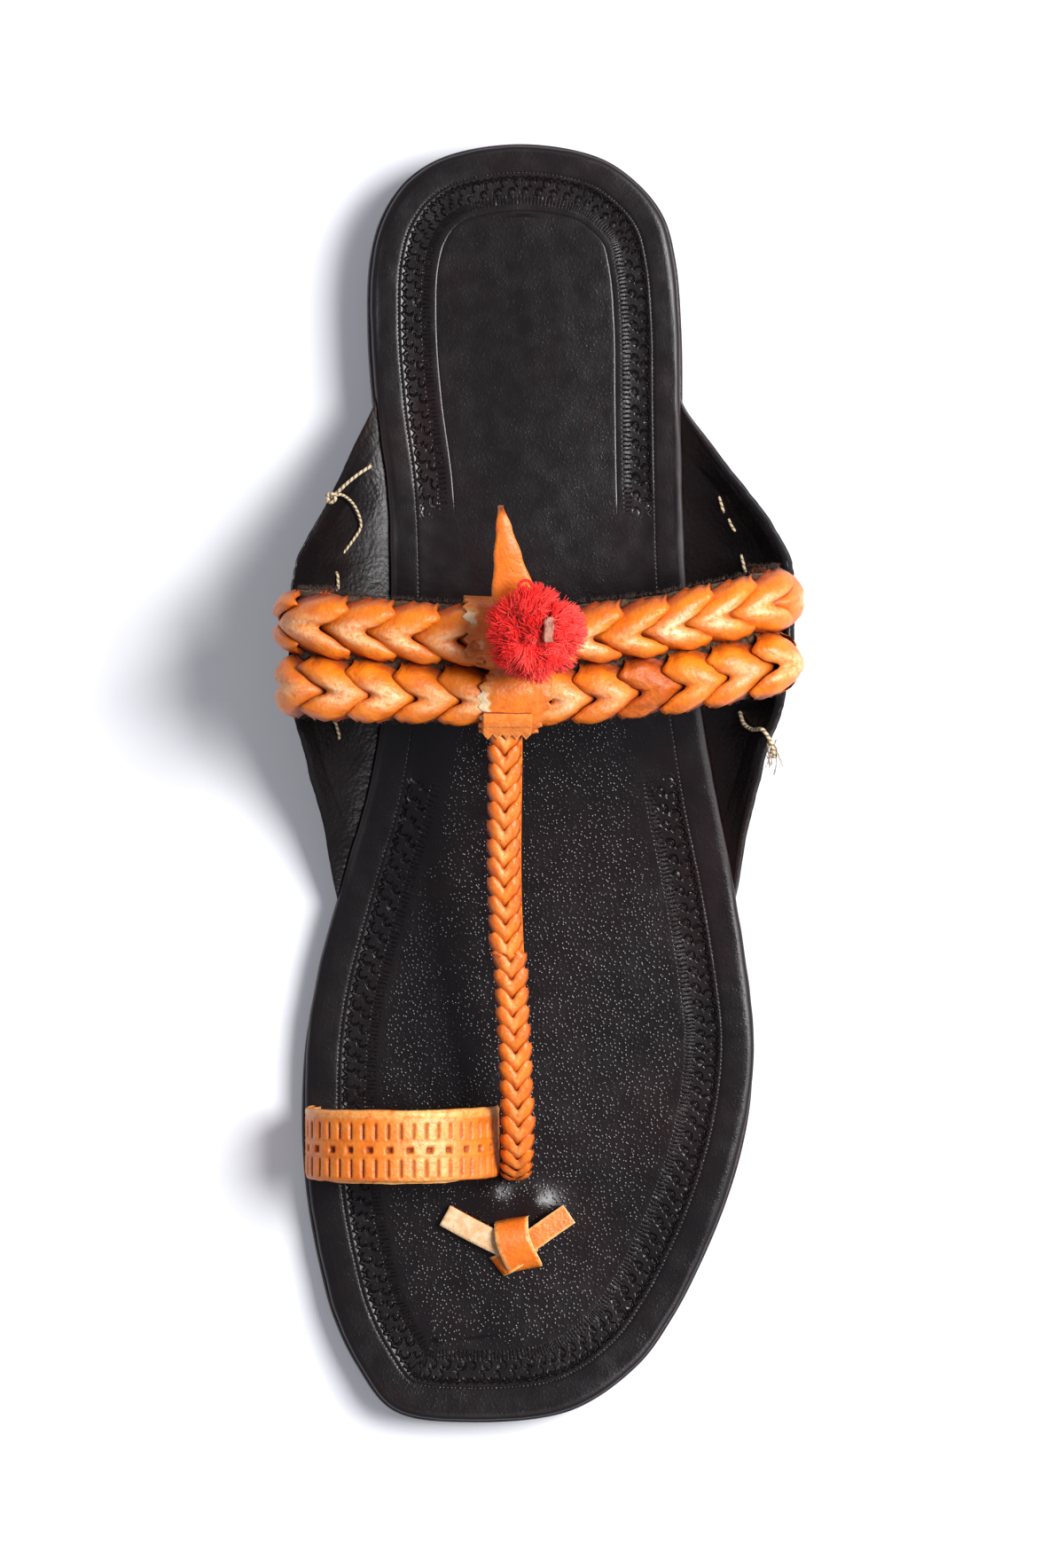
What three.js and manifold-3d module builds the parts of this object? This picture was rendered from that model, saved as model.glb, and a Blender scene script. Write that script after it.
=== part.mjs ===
// A left kolhapuri sandal: a flat leather sole of two layers on a low stacked heel, two leather ears
// that rise from between the layers, and an upper of straps: a double plaited band over the instep,
// a plaited strap down to the toe post, and a loop round the big toe.
//
// Millimetres. +Z is up and the sole stands on Z 0. The toe points to -Y and the heel to +Y.
// It is a left sandal, so its inner (big toe) side is at -X and its outer (little toe) side at +X.

import * as THREE from "three";
import { mergeVertices } from "three/addons/utils/BufferGeometryUtils.js";
import Module from "manifold-3d";

const wasm = await Module();
wasm.setup();

// ---------------------------------------------------------------- driving dimensions

const SOLE_LENGTH = 264;
const OUTSOLE_THICK = 4;
const INSOLE_THICK = 3.5;
const GAP = 0.3; // between two pieces that touch
const TOE_SPRING = 3.6;
const TOE_BREAK_Y = -96; // the sole leaves the floor in front of this
const ARCH_START_Y = -44; // and behind this, until the heel
const HEEL_BREAST_Y = 50.5;
const HEEL_RISE = 8; // floor to the underside of the outsole at the heel
const OUTSOLE_RIM = 0.7; // how far the outsole stands out past the insole

const EAR_THICK = 1.8;
const EAR_ROOT = 8; // how far an ear reaches in between the two soles
const EAR_BEND_INSET = 3; // an ear starts to bend up this far inside the insole's edge

const BAND_WIDTH = 29; // both braids, side by side
const BACKING_THICK = 1.3; // the strip that the braids are sewn to
const BRAID_THICK = 4.3; // a braid at the middle of its own width
const BRAID_EDGE_THICK = 1.8;
const LINK_PITCH = 9; // from one chevron of a braid to the next
const LINK_RUN = 2.15; // how far a link's arms run along the braid for each mm across it
const LINK_RELIEF = 0.9;
const INSTEP_SLOPE = THREE.MathUtils.degToRad(24);

const WRAP_FROM_X = -13.5;
const WRAP_TO_X = 4.5;
const WRAP_THICK = 1.5;

const TAB_THICK = 1.8;
const POMPOM_RADIUS = 9.8;
const POMPOM_HALF_HEIGHT = 5.9;
const PIN = { wide: 2, long: 5, tall: 12.4 };

const TOE_STRAP_WIDTH = 7.2;
const TOE_STRAP_THICK = 3.8;
const LOOP_WIDTH = 14.5;
const LOOP_THICK = 2.4;
const LOOP_Y = -73.5;
const STRAP_FOOT_Z = 5.2; // the toe straps end inside the insole at this height

const KNOT = { x: -2.9, y: -96, wide: 8.6, long: 11, tall: 4.6 };

// The insole's outline. inner and outer are its two edges at that y, and the outsole's waist is cut
// in under them by inner_cut and outer_cut.
const TOE_TIP_X = -12.5;
const HEEL_TIP_X = -1.8;
const OUTLINE = [
  { y: -129, inner: -28.0, outer: 8.4, inner_cut: 0, outer_cut: 0 },
  { y: -120, inner: -35.3, outer: 22.0, inner_cut: 0, outer_cut: 0 },
  { y: -110, inner: -40.1, outer: 29.4, inner_cut: 0, outer_cut: 0 },
  { y: -100, inner: -42.8, outer: 34.7, inner_cut: 0, outer_cut: 0 },
  { y: -88, inner: -45.1, outer: 39.8, inner_cut: 0, outer_cut: 0 },
  { y: -76, inner: -46.3, outer: 43.5, inner_cut: 0, outer_cut: 0 },
  { y: -64, inner: -46.5, outer: 45.8, inner_cut: 0.1, outer_cut: 0.3 },
  { y: -52, inner: -46.0, outer: 46.5, inner_cut: 0.5, outer_cut: 1.2 },
  { y: -40, inner: -44.2, outer: 45.3, inner_cut: 1.3, outer_cut: 3.0 },
  { y: -20, inner: -38.9, outer: 42.0, inner_cut: 2.4, outer_cut: 5.0 },
  { y: 0, inner: -33.2, outer: 37.8, inner_cut: 2.4, outer_cut: 5.2 },
  { y: 22, inner: -29.9, outer: 34.0, inner_cut: 1.8, outer_cut: 4.6 },
  { y: 42, inner: -29.1, outer: 31.6, inner_cut: 0.9, outer_cut: 2.4 },
  { y: 60, inner: -29.7, outer: 30.9, inner_cut: 0.3, outer_cut: 0.7 },
  { y: 78, inner: -32.0, outer: 30.6, inner_cut: 0, outer_cut: 0 },
  { y: 94, inner: -33.1, outer: 30.4, inner_cut: 0, outer_cut: 0 },
  { y: 108, inner: -32.6, outer: 29.2, inner_cut: 0, outer_cut: 0 },
  { y: 117, inner: -30.1, outer: 26.7, inner_cut: 0, outer_cut: 0 },
  { y: 124, inner: -25.2, outer: 21.0, inner_cut: 0, outer_cut: 0 },
  { y: 128.8, inner: -17.4, outer: 13.4, inner_cut: 0, outer_cut: 0 },
];

// An ear's sections from its front end to its back end: how far its edge stands out from the
// insole's edge, and how far it stands up from between the soles.
const INNER_EAR = [
  { y: -26, out: -1.0, up: 0.0 },
  { y: -20, out: 2.4, up: 1.6 },
  { y: -8, out: 8.5, up: 6.8 },
  { y: 3, out: 14.5, up: 13.0 },
  { y: 14, out: 19.0, up: 18.0 },
  { y: 30, out: 21.7, up: 20.0 },
  { y: 46, out: 20.0, up: 18.0 },
  { y: 56, out: 14.5, up: 13.2 },
  { y: 67, out: 8.0, up: 6.6 },
  { y: 78, out: 1.0, up: 1.2 },
  { y: 83, out: -1.0, up: 0.0 },
];
const OUTER_EAR = [
  { y: -26, out: -1.0, up: 0.0 },
  { y: -14, out: 2.8, up: 3.2 },
  { y: -7, out: 5.4, up: 6.8 },
  { y: 3, out: 9.5, up: 12.4 },
  { y: 14, out: 14.2, up: 17.6 },
  { y: 30, out: 19.0, up: 20.0 },
  { y: 46, out: 20.0, up: 18.4 },
  { y: 53, out: 17.0, up: 15.4 },
  { y: 60, out: 12.2, up: 11.2 },
  { y: 67, out: 7.2, up: 6.6 },
  { y: 76, out: 1.4, up: 1.4 },
  { y: 82, out: -1.0, up: 0.0 },
];

// The instep band's run over the foot, along the face that its braids are sewn to. y is the middle
// of its width, and slope is the share of INSTEP_SLOPE by which its back edge stands higher there.
// thick is the share of the braids' full thickness, which is pressed flat where it is sewn down.
const BAND_RUN = [
  { x: -41.0, z: 26.0, y: 27.1, slope: 0, thick: 0.4 },
  { x: -43.3, z: 31.6, y: 27.0, slope: 0, thick: 0.62 },
  { x: -48.4, z: 38.8, y: 26.8, slope: 0, thick: 1 },
  { x: -47.0, z: 43.2, y: 26.4, slope: 0.2, thick: 1 },
  { x: -37.8, z: 46.1, y: 25.4, slope: 0.55, thick: 1 },
  { x: -20.0, z: 47.8, y: 24.2, slope: 0.9, thick: 1 },
  { x: 0.0, z: 48.2, y: 23.6, slope: 1, thick: 1 },
  { x: 20.0, z: 47.7, y: 24.8, slope: 0.9, thick: 1 },
  { x: 37.4, z: 45.9, y: 27.0, slope: 0.55, thick: 1 },
  { x: 46.6, z: 43.0, y: 28.9, slope: 0.2, thick: 1 },
  { x: 49.0, z: 38.0, y: 29.4, slope: 0, thick: 1 },
  { x: 46.6, z: 31.4, y: 29.6, slope: 0, thick: 0.62 },
  { x: 43.8, z: 26.0, y: 29.8, slope: 0, thick: 0.4 },
];

// The strap from the band down to the toe post, along its middle.
const TOE_STRAP_RUN = [
  { x: -6.1, y: 16.0, z: 45.9 },
  { x: -6.0, y: 7.0, z: 42.8 },
  { x: -5.9, y: -20.0, z: 36.2 },
  { x: -4.6, y: -45.0, z: 29.8 },
  { x: -3.4, y: -66.0, z: 24.3 },
  { x: -3.3, y: -75.0, z: 20.2 },
  { x: -3.2, y: -79.3, z: 14.5 },
  { x: -3.2, y: -80.2, z: 9.5 },
  { x: -3.2, y: -80.2, z: STRAP_FOOT_Z },
];

// The loop over the big toe, along its middle, from the slot by the sole's inner edge to the post.
const LOOP_RUN = [
  { x: -43.2, z: STRAP_FOOT_Z },
  { x: -43.9, z: 9.0 },
  { x: -45.4, z: 15.0 },
  { x: -43.4, z: 22.5 },
  { x: -36.0, z: 28.2 },
  { x: -26.0, z: 29.8 },
  { x: -16.5, z: 27.0 },
  { x: -10.2, z: 20.5 },
  { x: -8.0, z: 13.0 },
  { x: -7.6, z: STRAP_FOOT_Z },
];

// The tab that points back from the centre wrap, along its middle, and its width.
const TAB_RUN = [
  { x: -4.6, y: 21.5, z: 55.2, width: 9.4 },
  { x: -4.6, y: 30.4, z: 59.2, width: 9.3 },
  { x: -4.8, y: 38.0, z: 62.4, width: 8.8 },
  { x: -5.6, y: 44.6, z: 64.4, width: 6.4 },
  { x: -6.9, y: 50.2, z: 65.4, width: 3.8 },
  { x: -8.6, y: 55.2, z: 65.7, width: 1.2 },
];

// The two tails of the toe knot, lying on the insole.
const KNOT_TAILS = [
  [
    { x: -4.4, y: -94.0, z: 10.2 },
    { x: -9.0, y: -91.6, z: 10.4 },
    { x: -13.6, y: -90.0, z: 9.4 },
    { x: -17.8, y: -88.9, z: 8.8 },
  ],
  [
    { x: -1.4, y: -94.0, z: 10.2 },
    { x: 2.6, y: -92.4, z: 10.3 },
    { x: 5.8, y: -90.8, z: 9.5 },
    { x: 8.6, y: -89.3, z: 8.8 },
  ],
];
const TAIL_WIDTH = 4.4;
const TAIL_THICK = 1.3;

const LEATHER = {
  black: { color: 0x1d1a1a, roughness: 0.5, metalness: 0 },
  brown: { color: 0x2a1916, roughness: 0.55, metalness: 0 },
  tan: { color: 0xd97820, roughness: 0.45, metalness: 0 },
  tanDark: { color: 0xc8641a, roughness: 0.5, metalness: 0 },
};
const RED_WOOL = { color: 0xd8141c, roughness: 0.95, metalness: 0 };

// ---------------------------------------------------------------- helpers

function mesh(name, geometry, finish) {
  const made = new THREE.Mesh(geometry, new THREE.MeshStandardMaterial(finish));
  made.name = name;
  return made;
}

// Corners that share a place become one, and triangles left without an area go.
function welded(geometry) {
  const g = geometry.clone();
  g.deleteAttribute("normal");
  g.deleteAttribute("uv");
  const one = mergeVertices(g, 1e-3);
  const kept = [];
  for (let i = 0; i < one.index.count; i += 3) {
    const [a, b, c] = [0, 1, 2].map((k) => one.index.getX(i + k));
    if (a !== b && b !== c && c !== a) {
      kept.push(a, b, c);
    }
  }
  one.setIndex(kept);
  return one;
}

// A closed block of segments in u, v and w, each from 0 to 1, bent so that each point is at(u, v, w).
function bentBlock(segments, at) {
  const block = new THREE.BoxGeometry(1, 1, 1, ...segments);
  const place = block.getAttribute("position");
  for (let i = 0; i < place.count; i++) {
    const p = at(place.getX(i) + 0.5, place.getY(i) + 0.5, place.getZ(i) + 0.5);
    place.setXYZ(i, p.x, p.y, p.z);
  }
  return welded(block);
}

function solid(geometry) {
  const g = welded(geometry);
  return new wasm.Manifold(
    new wasm.Mesh({
      numProp: 3,
      vertProperties: g.getAttribute("position").array,
      triVerts: new Uint32Array(g.index.array),
    }),
  );
}

function geometryOf(manifold) {
  const m = manifold.getMesh();
  return new THREE.BufferGeometry()
    .setAttribute("position", new THREE.BufferAttribute(m.vertProperties, 3))
    .setIndex(new THREE.BufferAttribute(m.triVerts, 1));
}

// The largest body of a solid: no offcuts, and no bubbles shut in where two pieces were joined.
const largest = (manifold) =>
  geometryOf(manifold.decompose().reduce((a, b) => (a.volume() > b.volume() ? a : b)));

const joined = (...pieces) => largest(pieces.map(solid).reduce((all, one) => all.add(one)));

const cut = (piece, ...cutters) =>
  largest(cutters.map(solid).reduce((rest, one) => rest.subtract(one), solid(piece)));

const smooth = (t) => t * t * (3 - 2 * t);
const clamp01 = (t) => Math.min(1, Math.max(0, t));
const lerp = THREE.MathUtils.lerp;

// One column of a table of rows, as a smooth function of another column that only rises.
function column(rows, from, to) {
  const last = rows.length - 1;
  const slopeAt = (k) => {
    const a = rows[Math.max(0, k - 1)];
    const b = rows[Math.min(last, k + 1)];
    return (b[to] - a[to]) / (b[from] - a[from]);
  };
  return (at) => {
    const found = rows.findIndex((r) => r[from] >= at);
    const i = found < 0 ? last : Math.max(1, found);
    const a = rows[i - 1];
    const b = rows[i];
    const span = b[from] - a[from];
    const t = clamp01((at - a[from]) / span);
    return (
      (2 * t ** 3 - 3 * t ** 2 + 1) * a[to] +
      (t ** 3 - 2 * t ** 2 + t) * span * slopeAt(i - 1) +
      (3 * t ** 2 - 2 * t ** 3) * b[to] +
      (t ** 3 - t ** 2) * span * slopeAt(i)
    );
  };
}

const runThrough = (rows) =>
  new THREE.CatmullRomCurve3(
    rows.map((r) => new THREE.Vector3(r.x, r.y, r.z)),
    false,
    "centripetal",
  );

// One column of a run's table at t, from 0 at its first row to 1 at its last.
function alongRows(rows, name, t) {
  const at = t * (rows.length - 1);
  const i = Math.min(rows.length - 2, Math.floor(at));
  return lerp(rows[i][name], rows[i + 1][name], smooth(at - i));
}

// ---------------------------------------------------------------- the sole

// The height of the outsole's underside over the floor.
function undersideAt(y) {
  if (y < TOE_BREAK_Y) {
    const t = (TOE_BREAK_Y - y) / (TOE_BREAK_Y + SOLE_LENGTH / 2);
    return TOE_SPRING * t * t;
  }
  const t = clamp01((y - ARCH_START_Y) / (HEEL_BREAST_Y - ARCH_START_Y));
  return HEEL_RISE * smooth(t ** 1.25);
}

const outsoleTopAt = (y) => undersideAt(y) + OUTSOLE_THICK;
const insoleTopAt = (y) => outsoleTopAt(y) + GAP + INSOLE_THICK;

// The closed outline, from the toe's tip back along the outer side and home along the inner side,
// so that the points at t and 1 - t face each other.
function outline(cutShare) {
  const half = SOLE_LENGTH / 2 - OUTSOLE_RIM;
  const ring = [
    [TOE_TIP_X, -half],
    ...OUTLINE.map((r) => [r.outer - cutShare * r.outer_cut, r.y]),
    [HEEL_TIP_X, half],
    ...OUTLINE.map((r) => [r.inner + cutShare * r.inner_cut, r.y]).reverse(),
  ];
  return new THREE.CatmullRomCurve3(
    ring.map(([x, y]) => new THREE.Vector3(x, y, 0)),
    true,
    "centripetal",
  );
}

// A point of an outline, moved outwards by rim.
function edgePoint(curve, t, rim) {
  const p = curve.getPoint(t % 1);
  const along = curve.getTangent(t % 1);
  return new THREE.Vector2(p.x + rim * along.y, p.y - rim * along.x);
}

const AROUND = 3 * (2 * OUTLINE.length + 2); // segments round a sole

// A sole layer, turned like a lathe piece and then drawn out to its outline. Each row of section is
// a corner: reach is its share of the way from the sole's spine to its edge, inset takes that edge
// in, and top is its share of the layer's thickness.
function soleLayer(curve, rim, section, bottomAt, thick) {
  const turned = new THREE.LatheGeometry(
    section.map((corner) => new THREE.Vector2(corner.reach, corner.top)),
    AROUND,
  );
  const place = turned.getAttribute("position");
  for (let i = 0; i <= AROUND; i++) {
    section.forEach((corner, j) => {
      const t = (i % AROUND) / AROUND;
      const edge = edgePoint(curve, t, rim - corner.inset);
      const facing = edgePoint(curve, 1 - t, rim - corner.inset);
      const spine = edge.clone().add(facing).multiplyScalar(0.5);
      const p = spine.lerp(edge, corner.reach);
      place.setXYZ(i * section.length + j, p.x, p.y, bottomAt(p.y) + corner.top * thick);
    });
  }
  return welded(turned);
}

const insoleOutline = outline(0);
const outsoleOutline = outline(1);

const OUTSOLE_SECTION = [
  { reach: 0, inset: 3, top: 0 },
  { reach: 1, inset: 0.8, top: 0 },
  { reach: 1, inset: 0, top: 0.2 },
  { reach: 1, inset: 0, top: 0.85 },
  { reach: 1, inset: 0.5, top: 1 },
  { reach: 0, inset: 3, top: 1 },
];
const INSOLE_SECTION = [
  { reach: 0, inset: 3, top: 0 },
  { reach: 1, inset: 0.2, top: 0 },
  { reach: 1, inset: 0, top: 0.1 },
  { reach: 1, inset: 0, top: 0.7 },
  { reach: 1, inset: 0.9, top: 1 },
  { reach: 0, inset: 3, top: 1 },
];

const outsole = () =>
  soleLayer(outsoleOutline, OUTSOLE_RIM, OUTSOLE_SECTION, undersideAt, OUTSOLE_THICK);

const insoleBlank = () =>
  soleLayer(insoleOutline, 0, INSOLE_SECTION, (y) => outsoleTopAt(y) + GAP, INSOLE_THICK);

// The heel: the outsole's own outline behind a straight breast.
function heel() {
  const steps = 2 * AROUND;
  const ring = Array.from({ length: steps }, (_, i) =>
    edgePoint(outsoleOutline, i / steps, OUTSOLE_RIM - 0.2),
  ).filter((p) => p.y > HEEL_BREAST_Y + 1);
  const shape = new THREE.Shape([
    new THREE.Vector2(ring[0].x, HEEL_BREAST_Y),
    ...ring,
    new THREE.Vector2(ring[ring.length - 1].x, HEEL_BREAST_Y),
  ]);
  return new THREE.ExtrudeGeometry(shape, {
    depth: HEEL_RISE - GAP,
    bevelEnabled: false,
  });
}

// ---------------------------------------------------------------- the ears

const SIDE = { inner: -1, outer: 1 };
const insoleEdgeX = {
  inner: column(OUTLINE, "y", "inner"),
  outer: column(OUTLINE, "y", "outer"),
};

// The middle of an ear's leather: across is 0 at its root between the soles and 1 at its edge.
function earMiddle(side, rows, y, across) {
  const out = column(rows, "y", "out")(y);
  const up = Math.max(0, column(rows, "y", "up")(y));
  const edge = Math.abs(insoleEdgeX[side](y));
  const rootZ = outsoleTopAt(y) + GAP + EAR_THICK / 2;
  const rootShare = 0.25;
  const start = edge - EAR_BEND_INSET;
  if (across < rootShare) {
    const x = start - (EAR_ROOT - EAR_BEND_INSET) * (1 - across / rootShare);
    return new THREE.Vector3(SIDE[side] * x, y, rootZ);
  }
  const t = (across - rootShare) / (1 - rootShare);
  const reach = out + EAR_BEND_INSET;
  const x = start + 2 * t * (1 - t) * 0.64 * reach + t * t * reach;
  const z = rootZ + 2 * t * (1 - t) * 0.1 * up + t * t * up;
  return new THREE.Vector3(SIDE[side] * x, y, z);
}

// An ear, or with grow the room that it needs in its neighbours.
function ear(side, rows, grow = 0) {
  const front = rows[0].y;
  const back = rows[rows.length - 1].y;
  const step = 0.01;
  return bentBlock([8, 20, 1], (u, v, w) => {
    const across = SIDE[side] < 0 ? 1 - u : u;
    const y = lerp(front - grow, back + grow, v);
    const middle = earMiddle(side, rows, y, across);
    const before = earMiddle(side, rows, y, Math.max(0, across - step));
    const after = earMiddle(side, rows, y, Math.min(1, across + step));
    const along = after.sub(before).normalize();
    const normal = new THREE.Vector3(-along.z, 0, along.x).multiplyScalar(SIDE[side]);
    const end = across === 0 ? -grow : across === 1 ? grow : 0;
    return middle
      .addScaledVector(normal, (w - 0.5) * (EAR_THICK + 2 * grow))
      .addScaledVector(along, end);
  });
}

// ---------------------------------------------------------------- the upper

const bandRun = runThrough(BAND_RUN);
const bandLength = bandRun.getLength();

// A point over the instep band, by u from 0 at its inner end to 1 at its outer end, by v from 0 at
// its front edge to 1 at its back edge, and by height above the face that its braids are sewn to.
function overBand(u, v, height) {
  const t = bandRun.getUtoTmapping(u);
  const along = bandRun.getTangent(t).setY(0).normalize();
  const tilt = INSTEP_SLOPE * alongRows(BAND_RUN, "slope", t);
  const leaning = new THREE.Vector3(0, Math.cos(tilt), Math.sin(tilt));
  const up = new THREE.Vector3().crossVectors(along, leaning).normalize();
  const across = new THREE.Vector3().crossVectors(up, along);
  return bandRun
    .getPoint(t)
    .addScaledVector(across, (v - 0.5) * BAND_WIDTH)
    .addScaledVector(up, height);
}

const pressed = (u) => alongRows(BAND_RUN, "thick", bandRun.getUtoTmapping(u));

// A braid's height over its backing, at share from -1 at one of its sides to 1 at the other.
const braidHeight = (share) =>
  BRAID_EDGE_THICK + (BRAID_THICK - BRAID_EDGE_THICK) * (1 - Math.abs(share) ** 2.4);

// One braid, lying from v = from to v = to across the band. Its chevrons point along it by way,
// which is -1 towards its inner end and 1 towards its outer end.
const LINK_STEPS = [0, 1, 0.7];

function braid(from, to, way) {
  const links = Math.round(bandLength / LINK_PITCH);
  const steps = links * LINK_STEPS.length;
  const settle = 0.2; // the share of the band at each end where the chevrons straighten out
  return bentBlock([steps, 6, 1], (u, v, w) => {
    const share = 2 * v - 1;
    const halfWidth = ((to - from) * BAND_WIDTH) / 2;
    const ends = smooth(clamp01(Math.min(u, 1 - u) / settle));
    const run = (LINK_RUN * halfWidth * (0.5 - Math.abs(share)) * way * ends) / bandLength;
    const step = way * Math.round(u * steps) + steps;
    const relief = LINK_RELIEF * (1 - LINK_STEPS[step % LINK_STEPS.length]);
    const height = (braidHeight(share) - relief * (1 - share ** 4)) * pressed(u);
    return overBand(u + run, lerp(from, to, v), w > 0.5 ? height : -BACKING_THICK / 2);
  });
}

function backing() {
  return bentBlock([40, 1, 1], (u, v, w) => overBand(u, v, w > 0.5 ? 0.4 : -BACKING_THICK));
}

// A strap along a run. across is the way its width lies, and rounding thins it at its sides.
function strapAlong(run, segments, widthAt, thick, across, rounding = 0) {
  return bentBlock(segments, (u, v, w) => {
    const along = run.getTangent(u);
    const flat = across.clone().addScaledVector(along, -across.dot(along)).normalize();
    const up = new THREE.Vector3().crossVectors(along, flat);
    const side = 2 * v - 1;
    const half = (thick / 2) * (1 - rounding * side * side);
    return run
      .getPoint(u)
      .addScaledVector(flat, (side * widthAt(u)) / 2)
      .addScaledVector(up, (2 * w - 1) * half);
  });
}

const X = new THREE.Vector3(1, 0, 0);
const Y = new THREE.Vector3(0, 1, 0);

function toeStrap(grow = 0) {
  const width = () => TOE_STRAP_WIDTH + 2 * grow;
  const run = runThrough(TOE_STRAP_RUN);
  return strapAlong(run, [26, 4, 1], width, TOE_STRAP_THICK + 2 * grow, X, 0.4);
}

function toeLoop(grow = 0) {
  const width = () => LOOP_WIDTH + 2 * grow;
  const run = runThrough(LOOP_RUN.map((r) => ({ ...r, y: LOOP_Y })));
  return strapAlong(run, [26, 2, 1], width, LOOP_THICK + 2 * grow, Y);
}

function upper() {
  return joined(
    backing(),
    braid(0, 0.505, 1),
    braid(0.495, 1, -1),
    toeStrap(),
    toeLoop(),
  );
}

// A slot down into the insole, round a strap's foot with GAP on every side.
function slot(x, y, wide, long, depth = 6) {
  const box = new THREE.BoxGeometry(wide + 2 * GAP, long + 2 * GAP, depth);
  return box.translate(x, y, STRAP_FOOT_Z - GAP + depth / 2);
}

// ---------------------------------------------------------------- the wrap and what it carries

const bandU = (x) => 0.5 + x / bandLength;

// The even swell of the wrap's leather over both braids.
const swell = (v) =>
  BRAID_EDGE_THICK + (BRAID_THICK - BRAID_EDGE_THICK) * (1 - Math.abs(2 * v - 1) ** 8);

function wrapShell(grow, overhang) {
  const side = grow / BAND_WIDTH;
  return bentBlock([4, 12, 1], (u, v, w) => {
    const end = overhang / bandLength;
    const x = lerp(bandU(WRAP_FROM_X) - end, bandU(WRAP_TO_X) + end, u);
    const top = swell(v) + grow;
    const bottom = -BACKING_THICK - grow;
    return overBand(x, lerp(-side, 1 + side, v), w > 0.5 ? top : bottom);
  });
}

function centreWrap() {
  return cut(wrapShell(GAP + WRAP_THICK, 0), wrapShell(GAP, 2), toeStrap(GAP));
}

function tailTab() {
  const run = runThrough(TAB_RUN);
  const width = (t) => alongRows(TAB_RUN, "width", t);
  return strapAlong(run, [16, 1, 1], width, TAB_THICK, new THREE.Vector3(-1, 0, 0));
}

// The pompom leans back with the band under it.
function leaned(geometry, x, y, z) {
  return geometry.rotateX(INSTEP_SLOPE).translate(x, y, z);
}

const POMPOM_AT = [-1.7, 29.5, 66.9];
const PIN_AT = [0.9, 30.0, 67.6];

function pompom() {
  const ball = new THREE.SphereGeometry(1, 20, 12);
  ball.rotateX(Math.PI / 2).scale(POMPOM_RADIUS, POMPOM_RADIUS, POMPOM_HALF_HEIGHT);
  const hole = new THREE.BoxGeometry(PIN.wide + 2 * GAP, PIN.long + 2 * GAP, 30);
  return cut(leaned(ball, ...POMPOM_AT), leaned(hole, ...PIN_AT));
}

const pompomPin = () =>
  leaned(new THREE.BoxGeometry(PIN.wide, PIN.long, PIN.tall), ...PIN_AT);

function toeKnot() {
  const ball = new THREE.SphereGeometry(1, 12, 8);
  ball.rotateX(Math.PI / 2).scale(KNOT.wide / 2, KNOT.long / 2, KNOT.tall / 2);
  const middle = insoleTopAt(KNOT.y) + 0.1 + KNOT.tall / 2;
  const tails = KNOT_TAILS.map((rows) =>
    strapAlong(runThrough(rows), [10, 1, 1], () => TAIL_WIDTH, TAIL_THICK, Y),
  );
  const stem = new THREE.BoxGeometry(3, 4, middle - STRAP_FOOT_Z);
  stem.translate(KNOT.x, KNOT.y, (middle + STRAP_FOOT_Z) / 2);
  return joined(ball.translate(KNOT.x, KNOT.y, middle), stem, ...tails);
}

// ---------------------------------------------------------------- the whole sandal

function insole() {
  const strapEnd = { x: TOE_STRAP_RUN.at(-1).x, y: TOE_STRAP_RUN.at(-1).y };
  return cut(
    insoleBlank(),
    ear("inner", INNER_EAR, GAP),
    ear("outer", OUTER_EAR, GAP),
    toeStrap(GAP),
    toeLoop(GAP),
    slot(strapEnd.x, strapEnd.y, TOE_STRAP_WIDTH, TOE_STRAP_THICK),
    slot(LOOP_RUN[0].x, LOOP_Y, LOOP_THICK, LOOP_WIDTH),
    slot(LOOP_RUN.at(-1).x, LOOP_Y, LOOP_THICK, LOOP_WIDTH),
    slot(KNOT.x, KNOT.y, 3, 4),
  );
}

const sandal = new THREE.Group();
sandal.name = "sandal";
sandal.add(
  mesh("outsole", outsole(), LEATHER.brown),
  mesh("heel", heel(), LEATHER.brown),
  mesh("insole", insole(), LEATHER.black),
  mesh("ear_inner", ear("inner", INNER_EAR), LEATHER.black),
  mesh("ear_outer", ear("outer", OUTER_EAR), LEATHER.black),
  mesh("upper", upper(), LEATHER.tan),
  mesh("centre_wrap", centreWrap(), LEATHER.tanDark),
  mesh("tail_tab", tailTab(), LEATHER.tan),
  mesh("pompom", pompom(), RED_WOOL),
  mesh("pompom_pin", pompomPin(), LEATHER.black),
  mesh("toe_knot", toeKnot(), LEATHER.tan),
);

export default sandal;
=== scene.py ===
import math
import random

import bmesh
import bpy
from mathutils import Matrix, Vector, noise


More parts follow.
